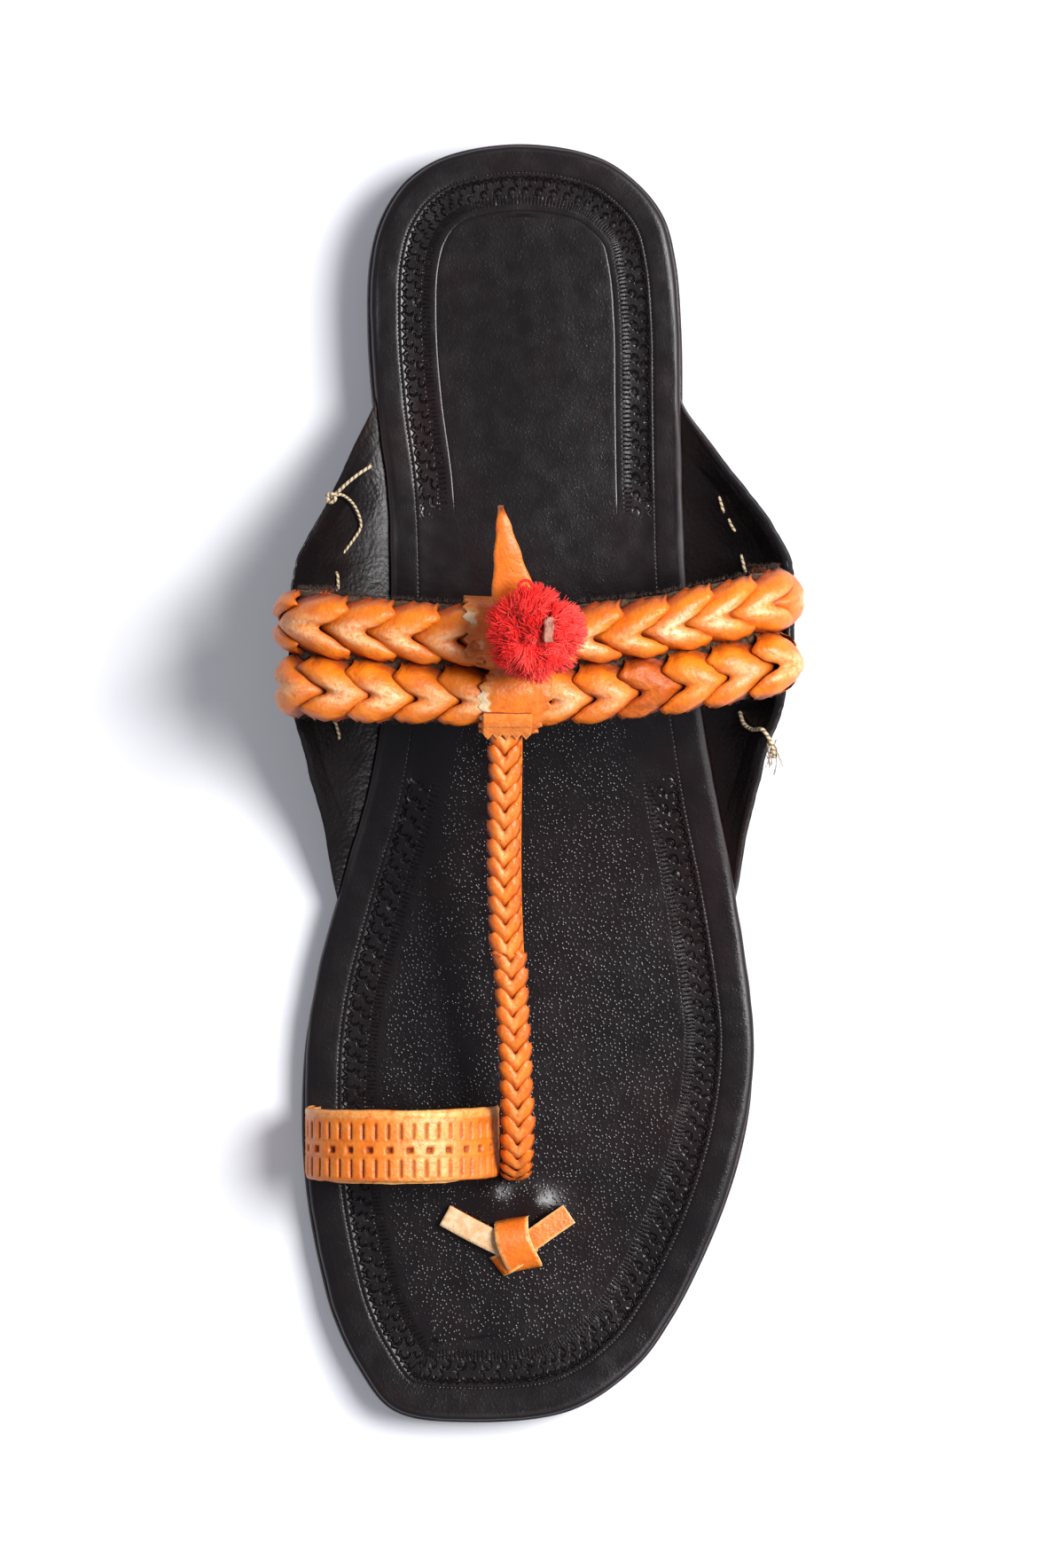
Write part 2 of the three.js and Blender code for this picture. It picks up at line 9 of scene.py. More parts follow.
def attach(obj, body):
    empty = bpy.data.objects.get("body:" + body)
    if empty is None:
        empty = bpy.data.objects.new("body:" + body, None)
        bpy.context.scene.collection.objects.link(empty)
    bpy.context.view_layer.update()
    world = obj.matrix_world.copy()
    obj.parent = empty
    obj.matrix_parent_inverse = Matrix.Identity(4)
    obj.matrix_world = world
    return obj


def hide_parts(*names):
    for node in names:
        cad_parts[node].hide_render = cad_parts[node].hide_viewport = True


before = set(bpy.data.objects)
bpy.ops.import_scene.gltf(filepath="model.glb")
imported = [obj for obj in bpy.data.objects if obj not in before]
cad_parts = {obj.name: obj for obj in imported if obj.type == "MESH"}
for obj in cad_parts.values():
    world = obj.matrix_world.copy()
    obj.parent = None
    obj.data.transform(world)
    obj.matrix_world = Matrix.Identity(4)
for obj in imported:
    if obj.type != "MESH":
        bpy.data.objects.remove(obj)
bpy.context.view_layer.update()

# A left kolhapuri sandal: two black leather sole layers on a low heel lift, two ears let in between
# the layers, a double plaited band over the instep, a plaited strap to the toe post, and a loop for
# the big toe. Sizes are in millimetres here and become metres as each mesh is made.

MM = 0.001
BODY = "root"
random.seed(11)


# ------------------------------------------------------------------ tables


def table(names, *rows):
    """Rows of sizes under named columns."""
    return [dict(zip(names.split(), row)) for row in rows]


OUTSOLE_THICK = 4
INSOLE_THICK = 3.5
GAP = 0.3
SOLE_HALF = 132
TOE_SPRING = 3.6
TOE_BREAK_Y = -96
ARCH_START_Y = -44
HEEL_BREAST_Y = 50.5
HEEL_RISE = 8
OUTSOLE_RIM = 0.7
TOE_TIP_X = -12.5
HEEL_TIP_X = -1.8

OUTLINE = table(
    "y inner outer inner_cut outer_cut",
    (-129, -28.0, 8.4, 0, 0),
    (-120, -35.3, 22.0, 0, 0),
    (-110, -40.1, 29.4, 0, 0),
    (-100, -42.8, 34.7, 0, 0),
    (-88, -45.1, 39.8, 0, 0),
    (-76, -46.3, 43.5, 0, 0),
    (-64, -46.5, 45.8, 0.1, 0.3),
    (-52, -46.0, 46.5, 0.5, 1.2),
    (-40, -44.2, 45.3, 1.3, 3.0),
    (-20, -38.9, 42.0, 2.4, 5.0),
    (0, -33.2, 37.8, 2.4, 5.2),
    (22, -29.9, 34.0, 1.8, 4.6),
    (42, -29.1, 31.6, 0.9, 2.4),
    (60, -29.7, 30.9, 0.3, 0.7),
    (78, -32.0, 30.6, 0, 0),
    (94, -33.1, 30.4, 0, 0),
    (108, -32.6, 29.2, 0, 0),
    (117, -30.1, 26.7, 0, 0),
    (124, -25.2, 21.0, 0, 0),
    (128.8, -17.4, 13.4, 0, 0),
)

EAR_THICK = 1.8
EAR_ROOT = 8
EAR_BEND_INSET = 3
EARS = {
    "inner": table(
        "y out up",
        (-26, -1.0, 0.0),
        (-20, 2.4, 1.6),
        (-8, 8.5, 6.8),
        (3, 14.5, 13.0),
        (14, 19.0, 18.0),
        (30, 21.7, 20.0),
        (46, 20.0, 18.0),
        (56, 14.5, 13.2),
        (67, 8.0, 6.6),
        (78, 1.0, 1.2),
        (83, -1.0, 0.0),
    ),
    "outer": table(
        "y out up",
        (-26, -1.0, 0.0),
        (-14, 2.8, 3.2),
        (-7, 5.4, 6.8),
        (3, 9.5, 12.4),
        (14, 14.2, 17.6),
        (30, 19.0, 20.0),
        (46, 20.0, 18.4),
        (53, 17.0, 15.4),
        (60, 12.2, 11.2),
        (67, 7.2, 6.6),
        (76, 1.4, 1.4),
        (82, -1.0, 0.0),
    ),
}

BAND_WIDTH = 25.8
LINK_PITCH = 9
SCUFFED_AT = 31
BACKING_THICK = 1.3
NAP_HAIRS = 1500
BRAID_THICK = 4.3
INSTEP_SLOPE = math.radians(24)
BAND_RUN = table(
    "x z y slope thick",
    (-41.0, 26.0, 26.6, 0, 0.4),
    (-43.3, 31.6, 26.5, 0, 0.62),
    (-48.4, 38.8, 26.3, 0, 1),
    (-47.0, 43.2, 25.9, 0.2, 1),
    (-37.8, 46.1, 25.0, 0.55, 1),
    (-20.0, 47.8, 24.0, 0.9, 1),
    (0.0, 48.2, 23.7, 1, 1),
    (20.0, 47.7, 25.3, 0.9, 1),
    (37.4, 45.9, 28.3, 0.55, 1),
    (46.6, 43.0, 30.4, 0.2, 1),
    (49.0, 38.0, 30.9, 0, 1),
    (46.6, 31.4, 31.1, 0, 0.62),
    (43.8, 26.0, 31.3, 0, 0.4),
)

STRAP_FOOT_Z = 5.2
TOE_STRAP_RUN = (
    (-6.1, 16.0, 45.9), (-6.0, 7.0, 42.8), (-5.9, -20.0, 36.2), (-4.6, -45.0, 29.8),
    (-3.4, -66.0, 24.3), (-3.3, -75.0, 20.2), (-3.2, -79.3, 14.5), (-3.2, -80.2, 9.5),
    (-3.2, -80.2, STRAP_FOOT_Z),
)
LOOP_Y = -73.5
LOOP_WIDTH = 14.5
LOOP_THICK = 2.4
LOOP_RUN = tuple(
    (x, LOOP_Y, z)
    for x, z in (
        (-43.2, STRAP_FOOT_Z), (-43.9, 9.0), (-45.4, 15.0), (-43.4, 22.5), (-36.0, 28.2),
        (-26.0, 29.8), (-16.5, 27.0), (-10.2, 20.5), (-8.0, 13.0), (-7.6, STRAP_FOOT_Z),
    )
)
TAB_RUN = table(
    "x y z width",
    (-4.6, 21.5, 55.0, 9.4),
    (-4.8, 30.4, 59.0, 9.3),
    (-5.9, 38.0, 62.2, 8.4),
    (-7.0, 44.6, 64.2, 5.6),
    (-7.8, 50.2, 65.2, 3.2),
    (-8.6, 55.0, 65.6, 0.9),
)


# ------------------------------------------------------------------ curves


def clamp01(t):
    return min(1.0, max(0.0, t))


def smooth(t):
    t = clamp01(t)
    return t * t * (3 - 2 * t)


def mix(a, b, t):
    return a + (b - a) * t


def ripple(seed, *where, size=1.0):
    """Even, repeatable unevenness from -1 to 1, at a coarseness of size."""
    spot = Vector((*where, 0, 0, 0)[:3]) / size
    return noise.noise(spot + Vector((seed * 7.3, seed * 3.1, seed * 5.7)))


def column(rows, name, y):
    """One column of a table as a smooth function of its y column."""
    last = len(rows) - 1
    i = next((k for k, r in enumerate(rows) if r["y"] >= y), last)
    i = max(1, i)

    def steep(k):
        a, b = rows[max(0, k - 1)], rows[min(last, k + 1)]
        return (b[name] - a[name]) / (b["y"] - a["y"])

    a, b = rows[i - 1], rows[i]
    span = b["y"] - a["y"]
    t = clamp01((y - a["y"]) / span)
    return (
        (2 * t**3 - 3 * t**2 + 1) * a[name]
        + (t**3 - 2 * t**2 + t) * span * steep(i - 1)
        + (3 * t**2 - 2 * t**3) * b[name]
        + (t**3 - t**2) * span * steep(i)
    )


def through(points, closed=False):
    """A smooth run through points: t from 0 to 1 gives a place and the way it heads."""
    points = [Vector(p) for p in points]
    n = len(points)

    def pick(k):
        if closed:
            return points[k % n]
        if k < 0:
            return 2 * points[0] - points[1]
        if k >= n:
            return 2 * points[-1] - points[-2]
        return points[k]

    def at(t):
        spans = n if closed else n - 1
        s = (t % 1.0 if closed else clamp01(t)) * spans
        i = int(s) if closed else min(int(s), n - 2)
        u = s - i
        a, b, c, d = (pick(i + k) for k in (-1, 0, 1, 2))
        ab, bc, cd = (max(math.sqrt((q - p).length), 1e-4) for p, q in ((a, b), (b, c), (c, d)))
        start = ((b - a) / ab - (c - a) / (ab + bc) + (c - b) / bc) * bc
        end = ((c - b) / bc - (d - b) / (bc + cd) + (d - c) / cd) * bc
        place = (
            b * (2 * u**3 - 3 * u**2 + 1)
            + start * (u**3 - 2 * u**2 + u)
            + c * (3 * u**2 - 2 * u**3)
            + end * (u**3 - u**2)
        )
        way = (
            b * (6 * u**2 - 6 * u)
            + start * (3 * u**2 - 4 * u + 1)
            + c * (6 * u - 6 * u**2)
            + end * (3 * u**2 - 2 * u)
        )
        return place, way.normalized()

    return at


def measured(run, steps=400):
    """(length, t at a length): turns a run's t into millimetres along it."""
    marks = [0.0]
    before = run(0)[0]
    for i in range(1, steps + 1):
        here = run(i / steps)[0]
        marks.append(marks[-1] + (here - before).length)
        before = here

    def t_at(length):
        length = min(max(length, 0), marks[-1])
        low, high = 0, steps
        while high - low > 1:
            middle = (low + high) // 2
            if marks[middle] <= length:
                low = middle
            else:
                high = middle
        step = marks[high] - marks[low]
        return (low + (length - marks[low]) / step if step else low) / steps

    return marks[-1], t_at


# ------------------------------------------------------------------ making pieces


def blank_mesh():
    """An empty mesh with its UV map and two layers: one for painted shade and stains, one for wear and
    painted highlights.
    """
    bm = bmesh.new()
    layers = bm.verts.layers.float
    return bm, bm.loops.layers.uv.new("UVMap"), layers.new("painted_shade_and_stain"), layers.new("worn")


def bent_sheet(columns, rows, place, chart=None, tint=None):
    """A flat grid bent so that column i of row j lies at place(i, j). chart gives its place in the UV map,
    in millimetres, and tint its painted shade and stain, and its wear and painted highlight, there."""
    bm, uv, painted_shade_and_stain, worn = blank_mesh()
    bmesh.ops.create_grid(bm, x_segments=columns, y_segments=rows, size=0.5, calc_uvs=True)
    for v in bm.verts:
        i, j = round((v.co.x + 0.5) * columns), round((v.co.y + 0.5) * rows)
        if tint:
            v[painted_shade_and_stain], v[worn] = tint(i, j)
        v.co = Vector(place(i, j)) * MM
    for face in bm.faces:
        for loop in face.loops:
            i, j = (round(c * n) for c, n in zip(loop[uv].uv, (columns, rows)))
            loop[uv].uv = Vector(chart(i, j) if chart else (i, j)) * MM
    return bm


def closed_up(bm):
    """Welds a sheet's meeting edges, closes its open ends and turns it right side out."""
    bmesh.ops.remove_doubles(bm, verts=bm.verts, dist=2e-6)
    ends = [e for e in bm.edges if e.is_boundary]
    if ends:
        bmesh.ops.holes_fill(bm, edges=ends, sides=0)
    bmesh.ops.recalc_face_normals(bm, faces=bm.faces)
    return bm


def walled(bm, thick, turned=False):
    """Gives an open sheet its wall, under the face that its columns and rows turn up, or under the
    other one where the sheet is turned."""
    if turned:
        bmesh.ops.reverse_faces(bm, faces=bm.faces[:])
    bmesh.ops.solidify(bm, geom=bm.faces[:], thickness=thick * MM)
    bmesh.ops.recalc_face_normals(bm, faces=bm.faces)
    return bm


def pour(into, part):
    """Adds one mesh to another and empties it."""
    mesh = bpy.data.meshes.new("part")
    part.to_mesh(mesh)
    part.free()
    into.from_mesh(mesh)
    bpy.data.meshes.remove(mesh)


def gathered(parts):
    """Many meshes as one."""
    bm = blank_mesh()[0]
    for part in parts:
        pour(bm, part)
    return bm


def piece(name, bm, material, slot, *stands_for, smooth_by=None):
    """The finished object: named, shaded, given its leather and set on the body."""
    mesh = bpy.data.meshes.new(name)
    for face in bm.faces:
        face.smooth = True
    if smooth_by:
        for edge in bm.edges:
            edge.smooth = edge.calc_face_angle(0) < math.radians(smooth_by)
    bm.to_mesh(mesh)
    bm.free()
    obj = bpy.data.objects.new(name, mesh)
    bpy.context.scene.collection.objects.link(obj)
    mesh.materials.append(material)
    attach(obj, BODY)
    if stands_for:
        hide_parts(*stands_for)
    return obj


# ------------------------------------------------------------------ materials


def linear(code):
    """An sRGB hex colour as linear light."""
    parts = [int(code[i : i + 2], 16) / 255 for i in (1, 3, 5)]
    return (*(c / 12.92 if c <= 0.04045 else ((c + 0.055) / 1.055) ** 2.4 for c in parts), 1.0)


def node(mat, kind, inputs=(), **settings):
    """Adds a node with its settings and gives its inputs, in their order or by name, each a value or
    a link. Returns the node's outputs."""
    made = mat.node_tree.nodes.new("ShaderNode" + kind)
    for name, value in settings.items():
        setattr(made, name, value)
    for name, value in inputs.items() if isinstance(inputs, dict) else enumerate(inputs):
        if isinstance(value, bpy.types.NodeSocket):
            mat.node_tree.links.new(value, made.inputs[name])
        else:
            made.inputs[name].default_value = value
    return made.outputs


def blank(name):
    mat = bpy.data.materials.new(name)
    mat.use_nodes = True
    mat.node_tree.nodes.clear()
    return mat


def surface(mat, colour, rough, height=None, depth=0.2, **sockets):
    """Ends a material in its shader. height is in millimetres times depth."""
    inputs = {"Base Color": colour, "Roughness": rough}
    inputs.update((name.replace("_", " "), value) for name, value in sockets.items())
    if height is not None:
        bump = {"Strength": 1.0, "Distance": depth * MM, "Height": height}
        inputs["Normal"] = node(mat, "Bump", bump)[0]
    shader = node(mat, "BsdfPrincipled", inputs)[0]
    node(mat, "OutputMaterial", (shader,))
    return mat


def insole_leather():
    """Black vegetable-tanned cowhide, pressed to a pebbled grain, tooled and polished. Each pebble
    catches the light as a small spark, and the stamped border glitters. The pebbles are 0.4 mm wide
    and 1 mm apart."""
    mat = blank("black_cowhide_tooled")
    spots = node(mat, "TexCoord")
    chart = node(mat, "SeparateXYZ", (spots["UV"],))
    place = node(mat, "SeparateXYZ", (spots["Object"],))
    wander, patchy, swells, pores, lumps, tone, gloss = (
        node(mat, "TexNoise", {
            "Vector": spots["Object"], "Scale": 1 / (size * MM), "Detail": detail, "Roughness": 0.6,
        })[0]
        for size, detail in (
            (2.6, 2.0), (1.3, 2.0), (4.0, 3.0), (0.3, 2.0), (1.6, 3.0), (26.0, 4.0), (5.0, 4.0),
        )
    )
    far, straight, y = (
        node(mat, "Math", (metres, 1000.0), operation="MULTIPLY")[0]
        for metres in (chart[0], chart[1], place[1])
    )
    uneven = node(mat, "Math", (wander, 0.5), operation="SUBTRACT")[0]
    run, inset = (
        node(mat, "Math", (uneven, by, line), operation="MULTIPLY_ADD")[0]
        for by, line in ((1.2, far), (0.6, straight))
    )
    fore, at_heel = (
        node(mat, "MapRange", (y, *ends), interpolation_type="SMOOTHSTEP")[0]
        for ends in ((-4.0, 3.0, 1.0, 0.0), (54.0, 62.0))
    )
    stamped = node(mat, "Math", (fore, at_heel), operation="ADD")[0]

    def along(pitch, shift=0.0):
        """Millimetres from the middle of the nearest mark of a row of them."""
        step = run
        for operation, by in (
            ("ADD", shift), ("DIVIDE", pitch), ("FRACT", 0.0), ("SUBTRACT", 0.5), ("MULTIPLY", pitch),
        ):
            step = node(mat, "Math", (step, by), operation=operation)[0]
        return step

    def near(off, wide):
        """1 where off is 0, down to 0 where it is wide."""
        size = node(mat, "Math", (off,), operation="ABSOLUTE")[0]
        return node(mat, "MapRange", (size, 0.0, wide, 1.0, 0.0), interpolation_type="SMOOTHSTEP")[0]

    # Hooked leaves 3.5 mm apart in two rows, small chevrons outside them and short rays inside.
    marks = 0.0
    for shift, row, radius in ((0.0, 9.2, 1.05), (1.75, 11.4, 0.85)):
        step = along(3.5, shift)
        off_row = node(mat, "Math", (inset, row), operation="SUBTRACT")[0]
        spot = node(mat, "CombineXYZ", (step, off_row))[0]
        away = node(mat, "VectorMath", (spot,), operation="LENGTH")["Value"]
        ring = near(node(mat, "Math", (away, radius), operation="SUBTRACT")[0], 0.42)
        side = node(mat, "Math", (step, off_row), operation="SUBTRACT")[0]
        gate = node(mat, "MapRange", (side, -0.9, 0.1), interpolation_type="SMOOTHSTEP")[0]
        leaf = node(mat, "Math", (ring, gate), operation="MULTIPLY")[0]
        marks = node(mat, "Math", (marks, leaf), operation="MAXIMUM")[0]
    point = node(mat, "Math", (along(1.75),), operation="ABSOLUTE")[0]
    slant = node(mat, "Math", (point, -0.9, inset), operation="MULTIPLY_ADD")[0]
    slant = node(mat, "Math", (slant, 7.6), operation="SUBTRACT")[0]
    marks = node(mat, "Math", (marks, near(slant, 0.34)), operation="MAXIMUM")[0]
    rays = near(along(0.95), 0.26)
    for ends in ((12.2, 12.7), (14.0, 14.6, 1.0, 0.0)):
        reach = node(mat, "MapRange", (inset, *ends), interpolation_type="SMOOTHSTEP")[0]
        rays = node(mat, "Math", (rays, reach), operation="MULTIPLY")[0]
    rays = node(mat, "Math", (rays, 0.5), operation="MULTIPLY")[0]
    marks = node(mat, "Math", (marks, rays), operation="MAXIMUM")[0]
    struck = node(mat, "MapRange", (patchy, 0.32, 0.56, 0.25, 1.0), interpolation_type="SMOOTHSTEP")[0]
    for share in (stamped, struck):
        marks = node(mat, "Math", (marks, share), operation="MULTIPLY")[0]

    outer_line = node(mat, "Math", (straight, 6.7), operation="SUBTRACT")[0]
    dots = node(mat, "Math", (near(outer_line, 0.3), near(along(0.9), 0.34)), operation="MULTIPLY")[0]
    inner_line = node(mat, "Math", (straight, 16.0), operation="SUBTRACT")[0]
    faint = node(mat, "MapRange", (y, 54.0, 62.0, 0.0, 0.14), interpolation_type="SMOOTHSTEP")[0]
    inner = node(mat, "Math", (near(inner_line, 0.25), faint), operation="MULTIPLY")[0]

    cells = node(
        mat, "TexVoronoi", {"Vector": spots["Object"], "Scale": 1 / MM}, voronoi_dimensions="2D",
    )["Distance"]
    pebble = node(mat, "MapRange", (cells, 0.05, 0.32, 1.0, 0.0), interpolation_type="SMOOTHSTEP")[0]
    for value, *ends in (
        (swells, 0.35, 0.65, 0.35, 1.15), (y, 0.0, 40.0, 1.0, 0.2), (straight, 14.5, 17.5, 0.2, 1.0),
    ):
        share = node(mat, "MapRange", (value, *ends), interpolation_type="SMOOTHSTEP")[0]
        pebble = node(mat, "Math", (pebble, share), operation="MULTIPLY")[0]
    height = 0.0
    for bumps, tall in (
        (pebble, 0.2), (pores, 0.08), (lumps, 0.08), (marks, -1.7), (dots, -0.4), (inner, -1.0),
    ):
        height = node(mat, "Math", (bumps, tall, height), operation="MULTIPLY_ADD")[0]

    warm, edge, rim, rough = (
        node(mat, "MapRange", ranges, interpolation_type="SMOOTHSTEP")[0]
        for ranges in (
            (tone, 0.45, 0.75), (straight, 0.1, 0.6, 0.8, 0.0), (straight, 0.5, 1.8, 0.28, 0.0),
            (gloss, 0.3, 0.7, 0.2, 0.26),
        )
    )
    colour = linear("#110c0e")
    for share, coat in ((warm, "#1b1011"), (edge, "#3d3236")):
        colour = node(mat, "Mix", {0: share, 6: colour, 7: linear(coat)}, data_type="RGBA")[2]
    rough = node(mat, "Math", (rough, rim), operation="ADD")[0]
    rough = node(mat, "Math", (marks, -0.05, rough), operation="MULTIPLY_ADD")[0]
    return surface(mat, colour, rough, height, 0.3, Specular_IOR_Level=0.3)


def black_leather(name, base, warm_tint, pore_mm, rough_low, rough_high, depth, shine=0.45):
    """Black chrome-dyed side leather: fine pores, faint creases and a soft shine."""
    mat = blank(name)
    spot = node(mat, "TexCoord")["Object"]
    cells = node(mat, "TexVoronoi", {"Vector": spot, "Scale": 1 / (pore_mm * MM)})["Distance"]
    folds, fine, tone, gloss = (
        node(mat, "TexNoise", {
            "Vector": spot, "Scale": 1 / (size * MM), "Detail": detail, "Roughness": 0.6,
        })[0]
        for size, detail in ((4.0, 4.0), (0.4, 3.0), (30.0, 4.0), (7.0, 4.0))
    )
    height = 0.0
    for bumps, tall in ((cells, 0.5), (folds, 1.6), (fine, 0.3)):
        height = node(mat, "Math", (bumps, tall, height), operation="MULTIPLY_ADD")[0]
    warm, rough = (
        node(mat, "MapRange", ranges, interpolation_type="SMOOTHSTEP")[0]
        for ranges in ((tone, 0.42, 0.7), (gloss, 0.3, 0.7, rough_low, rough_high))
    )
    colours = {0: warm, 6: linear(base), 7: linear(warm_tint)}
    colour = node(mat, "Mix", colours, data_type="RGBA")[2]
    return surface(mat, colour, rough, height, depth, Specular_IOR_Level=shine)


def tan_leather(name, base, deep, light, bare="#f0cfa0"):
    """Dyed tan goat leather, smoothed by rubbing: painted shade darkens it in its creases and tucked-in
    places, and stains darken it too; it is paler where it is worn and where a highlight is painted, with
    small dark specks of wax."""
    mat = blank(name)
    spot = node(mat, "TexCoord")["Object"]
    painted_shade_and_stain, worn = (node(mat, "Attribute", attribute_name=n)["Fac"] for n in ("painted_shade_and_stain", "worn"))
    mottle, blot, grit, patch, gloss = (
        node(mat, "TexNoise", {
            "Vector": spot, "Scale": 1 / (size * MM), "Detail": detail, "Roughness": 0.6,
        })[0]
        for size, detail in ((3.2, 5.0), (1.1, 4.0), (0.9, 5.0), (5.5, 2.0), (2.4, 4.0))
    )
    wax, pores = (
        node(mat, "TexVoronoi", {"Vector": spot, "Scale": 1 / (size * MM)})["Distance"]
        for size in (0.85, 0.8)
    )
    deeper, wear_and_highlight, tucked, speck, gather, raw, rough = (
        node(mat, "MapRange", ranges, interpolation_type="SMOOTHSTEP")[0]
        for ranges in (
            (mottle, 0.35, 0.7), (blot, 0.25, 0.62), (blot, 0.15, 0.5, 0.6, 1.0),
            (wax, 0.1, 0.2, 0.75, 0.0), (patch, 0.54, 0.62), (worn, 1.4, 1.9), (gloss, 0.3, 0.7, 0.3, 0.46),
        )
    )
    pale, dark, specks = (
        node(mat, "Math", pair, operation="MULTIPLY")[0]
        for pair in ((worn, wear_and_highlight), (painted_shade_and_stain, tucked), (speck, gather))
    )
    colour = linear(base)
    # 8f3206 is painted shade, also used for stains; the light coat is part wear, part painted highlight.
    for share, coat in ((deeper, deep), (pale, light), (dark, "#8f3206"), (specks, "#3a1c0c"), (raw, bare)):
        colour = node(mat, "Mix", {0: share, 6: colour, 7: linear(coat)}, data_type="RGBA")[2]
    height = 0.0
    for bumps, tall in ((pores, 0.5), (grit, 1.2)):
        height = node(mat, "Math", (bumps, tall, height), operation="MULTIPLY_ADD")[0]
    rough = node(mat, "Math", (painted_shade_and_stain, 0.2, rough), operation="MULTIPLY_ADD")[0]
    return surface(mat, colour, rough, height, 0.12, Specular_IOR_Level=0.5)


def flesh_side(name, base, other, rough, blot_mm, fibre_mm, depth, **sockets):
    """The undyed, matt and fibrous side of leather."""
    mat = blank(name)
    spot = node(mat, "TexCoord")["Object"]
    blots, fibres = (
        node(mat, "TexNoise", {
            "Vector": spot, "Scale": 1 / (size * MM), "Detail": 5.0, "Roughness": 0.6,
        })[0]
        for size in (blot_mm, fibre_mm)
    )
    share = node(mat, "MapRange", (blots, 0.35, 0.65), interpolation_type="SMOOTHSTEP")[0]
    colours = {0: share, 6: linear(base), 7: linear(other)}
    colour = node(mat, "Mix", colours, data_type="RGBA")[2]
    return surface(mat, colour, rough, fibres, depth, **sockets)


def wool():
    """Dyed red wool yarn, cut and brushed out."""
    mat = blank("red_wool_pile")
    painted_shade_and_stain = node(mat, "Attribute", attribute_name="painted_shade_and_stain")["Fac"]
    mottle = node(mat, "TexNoise", {
        "Vector": node(mat, "TexCoord")["Object"], "Scale": 1 / (2.2 * MM), "Detail": 4.0,
        "Roughness": 0.6,
    })[0]
    bright = node(mat, "MapRange", (mottle, 0.3, 0.7), interpolation_type="SMOOTHSTEP")[0]
    # Painted shade: darker red deep inside the ball and in the hollows between clumps.
    inner = node(mat, "Math", (painted_shade_and_stain, 0.7), operation="MULTIPLY")[0]
    colour = linear("#ff1a20")
    for share, coat in ((bright, "#ff3a34"), (inner, "#c80e16")):
        colour = node(mat, "Mix", {0: share, 6: colour, 7: linear(coat)}, data_type="RGBA")[2]
    return surface(
        mat, colour, 0.9, Sheen_Weight=1.0, Sheen_Roughness=0.5, Sheen_Tint=linear("#ff7a70"),
        Specular_IOR_Level=0.1,
    )


def waxed_thread():
    """Twisted cotton thread, undyed, two strands to the millimetre."""
    mat = blank("undyed_cotton_thread")
    chart = node(mat, "SeparateXYZ", (node(mat, "TexCoord")["UV"],))
    round_it = node(mat, "Math", (chart[1], 1000.0), operation="MULTIPLY")[0]
    strand = node(mat, "Math", (chart[0], 900.0, round_it), operation="MULTIPLY_ADD")[0]
    for operation, by in (("FRACT", 0.0), ("SUBTRACT", 0.5), ("ABSOLUTE", 0.0)):
        strand = node(mat, "Math", (strand, by), operation=operation)[0]
    share = node(mat, "MapRange", (strand, 0.0, 0.35), interpolation_type="SMOOTHSTEP")[0]
    colours = {0: share, 6: linear("#7a6248"), 7: linear("#d3bf9e")}
    colour = node(mat, "Mix", colours, data_type="RGBA")[2]
    return surface(mat, colour, 0.85, strand, 0.3)


INSOLE_LEATHER = insole_leather()
SOLE_LEATHER = black_leather("dark_brown_sole_leather", "#150f0f", "#260f0d", 0.9, 0.34, 0.5, 0.12)
HEEL_LEATHER = black_leather("burnished_heel_leather", "#161010", "#22100e", 0.7, 0.32, 0.52, 0.12)
EAR_LEATHER = black_leather("black_side_leather", "#100c0d", "#1a0e0d", 0.9, 0.3, 0.42, 0.14, 0.25)
BRAID_LEATHER = tan_leather("tan_goat_braid", "#f28212", "#e0690c", "#fde4b4")
STRAP_LEATHER = tan_leather("tan_goat_strap", "#ec7818", "#de6410", "#f9be70")
LOOP_LEATHER = tan_leather("tan_stamped_leather", "#e67f24", "#d86812", "#fac070")
WRAP_LEATHER = tan_leather("tan_wrap_leather", "#e6700f", "#d9620c", "#f8b060", bare="#f3d6ac")
FLESH = flesh_side("cream_flesh_side", "#e8c7a0", "#d9a878", 0.8, 1.2, 0.4, 0.15)
PIN = flesh_side("pink_brown_rawhide", "#b9806c", "#8a4a3c", 0.7, 1.2, 0.4, 0.15)
NAP = flesh_side(
    "brown_flesh_side", "#2c1c13", "#5e432f", 0.95, 0.8, 0.3, 0.35,
    Sheen_Weight=0.15, Sheen_Roughness=0.5, Specular_IOR_Level=0.2,
)
WOOL = wool()
THREAD = waxed_thread()


# ------------------------------------------------------------------ the sole's own shape


def underside_z(y):
    if y < TOE_BREAK_Y:
        t = (TOE_BREAK_Y - y) / (TOE_BREAK_Y + SOLE_HALF)
        return TOE_SPRING * t * t
    t = clamp01((y - ARCH_START_Y) / (HEEL_BREAST_Y - ARCH_START_Y))
    return HEEL_RISE * smooth(t**1.25)


def outsole_top(y):
    return underside_z(y) + OUTSOLE_THICK


def insole_top(y):
    return outsole_top(y) + GAP + INSOLE_THICK


def outline(cut_share):
    half = SOLE_HALF - OUTSOLE_RIM
    outer = [(r["outer"] - cut_share * r["outer_cut"], r["y"], 0) for r in OUTLINE]
    inner = [(r["inner"] + cut_share * r["inner_cut"], r["y"], 0) for r in OUTLINE]
    return through([(TOE_TIP_X, -half, 0), *outer, (HEEL_TIP_X, half, 0), *reversed(inner)], True)


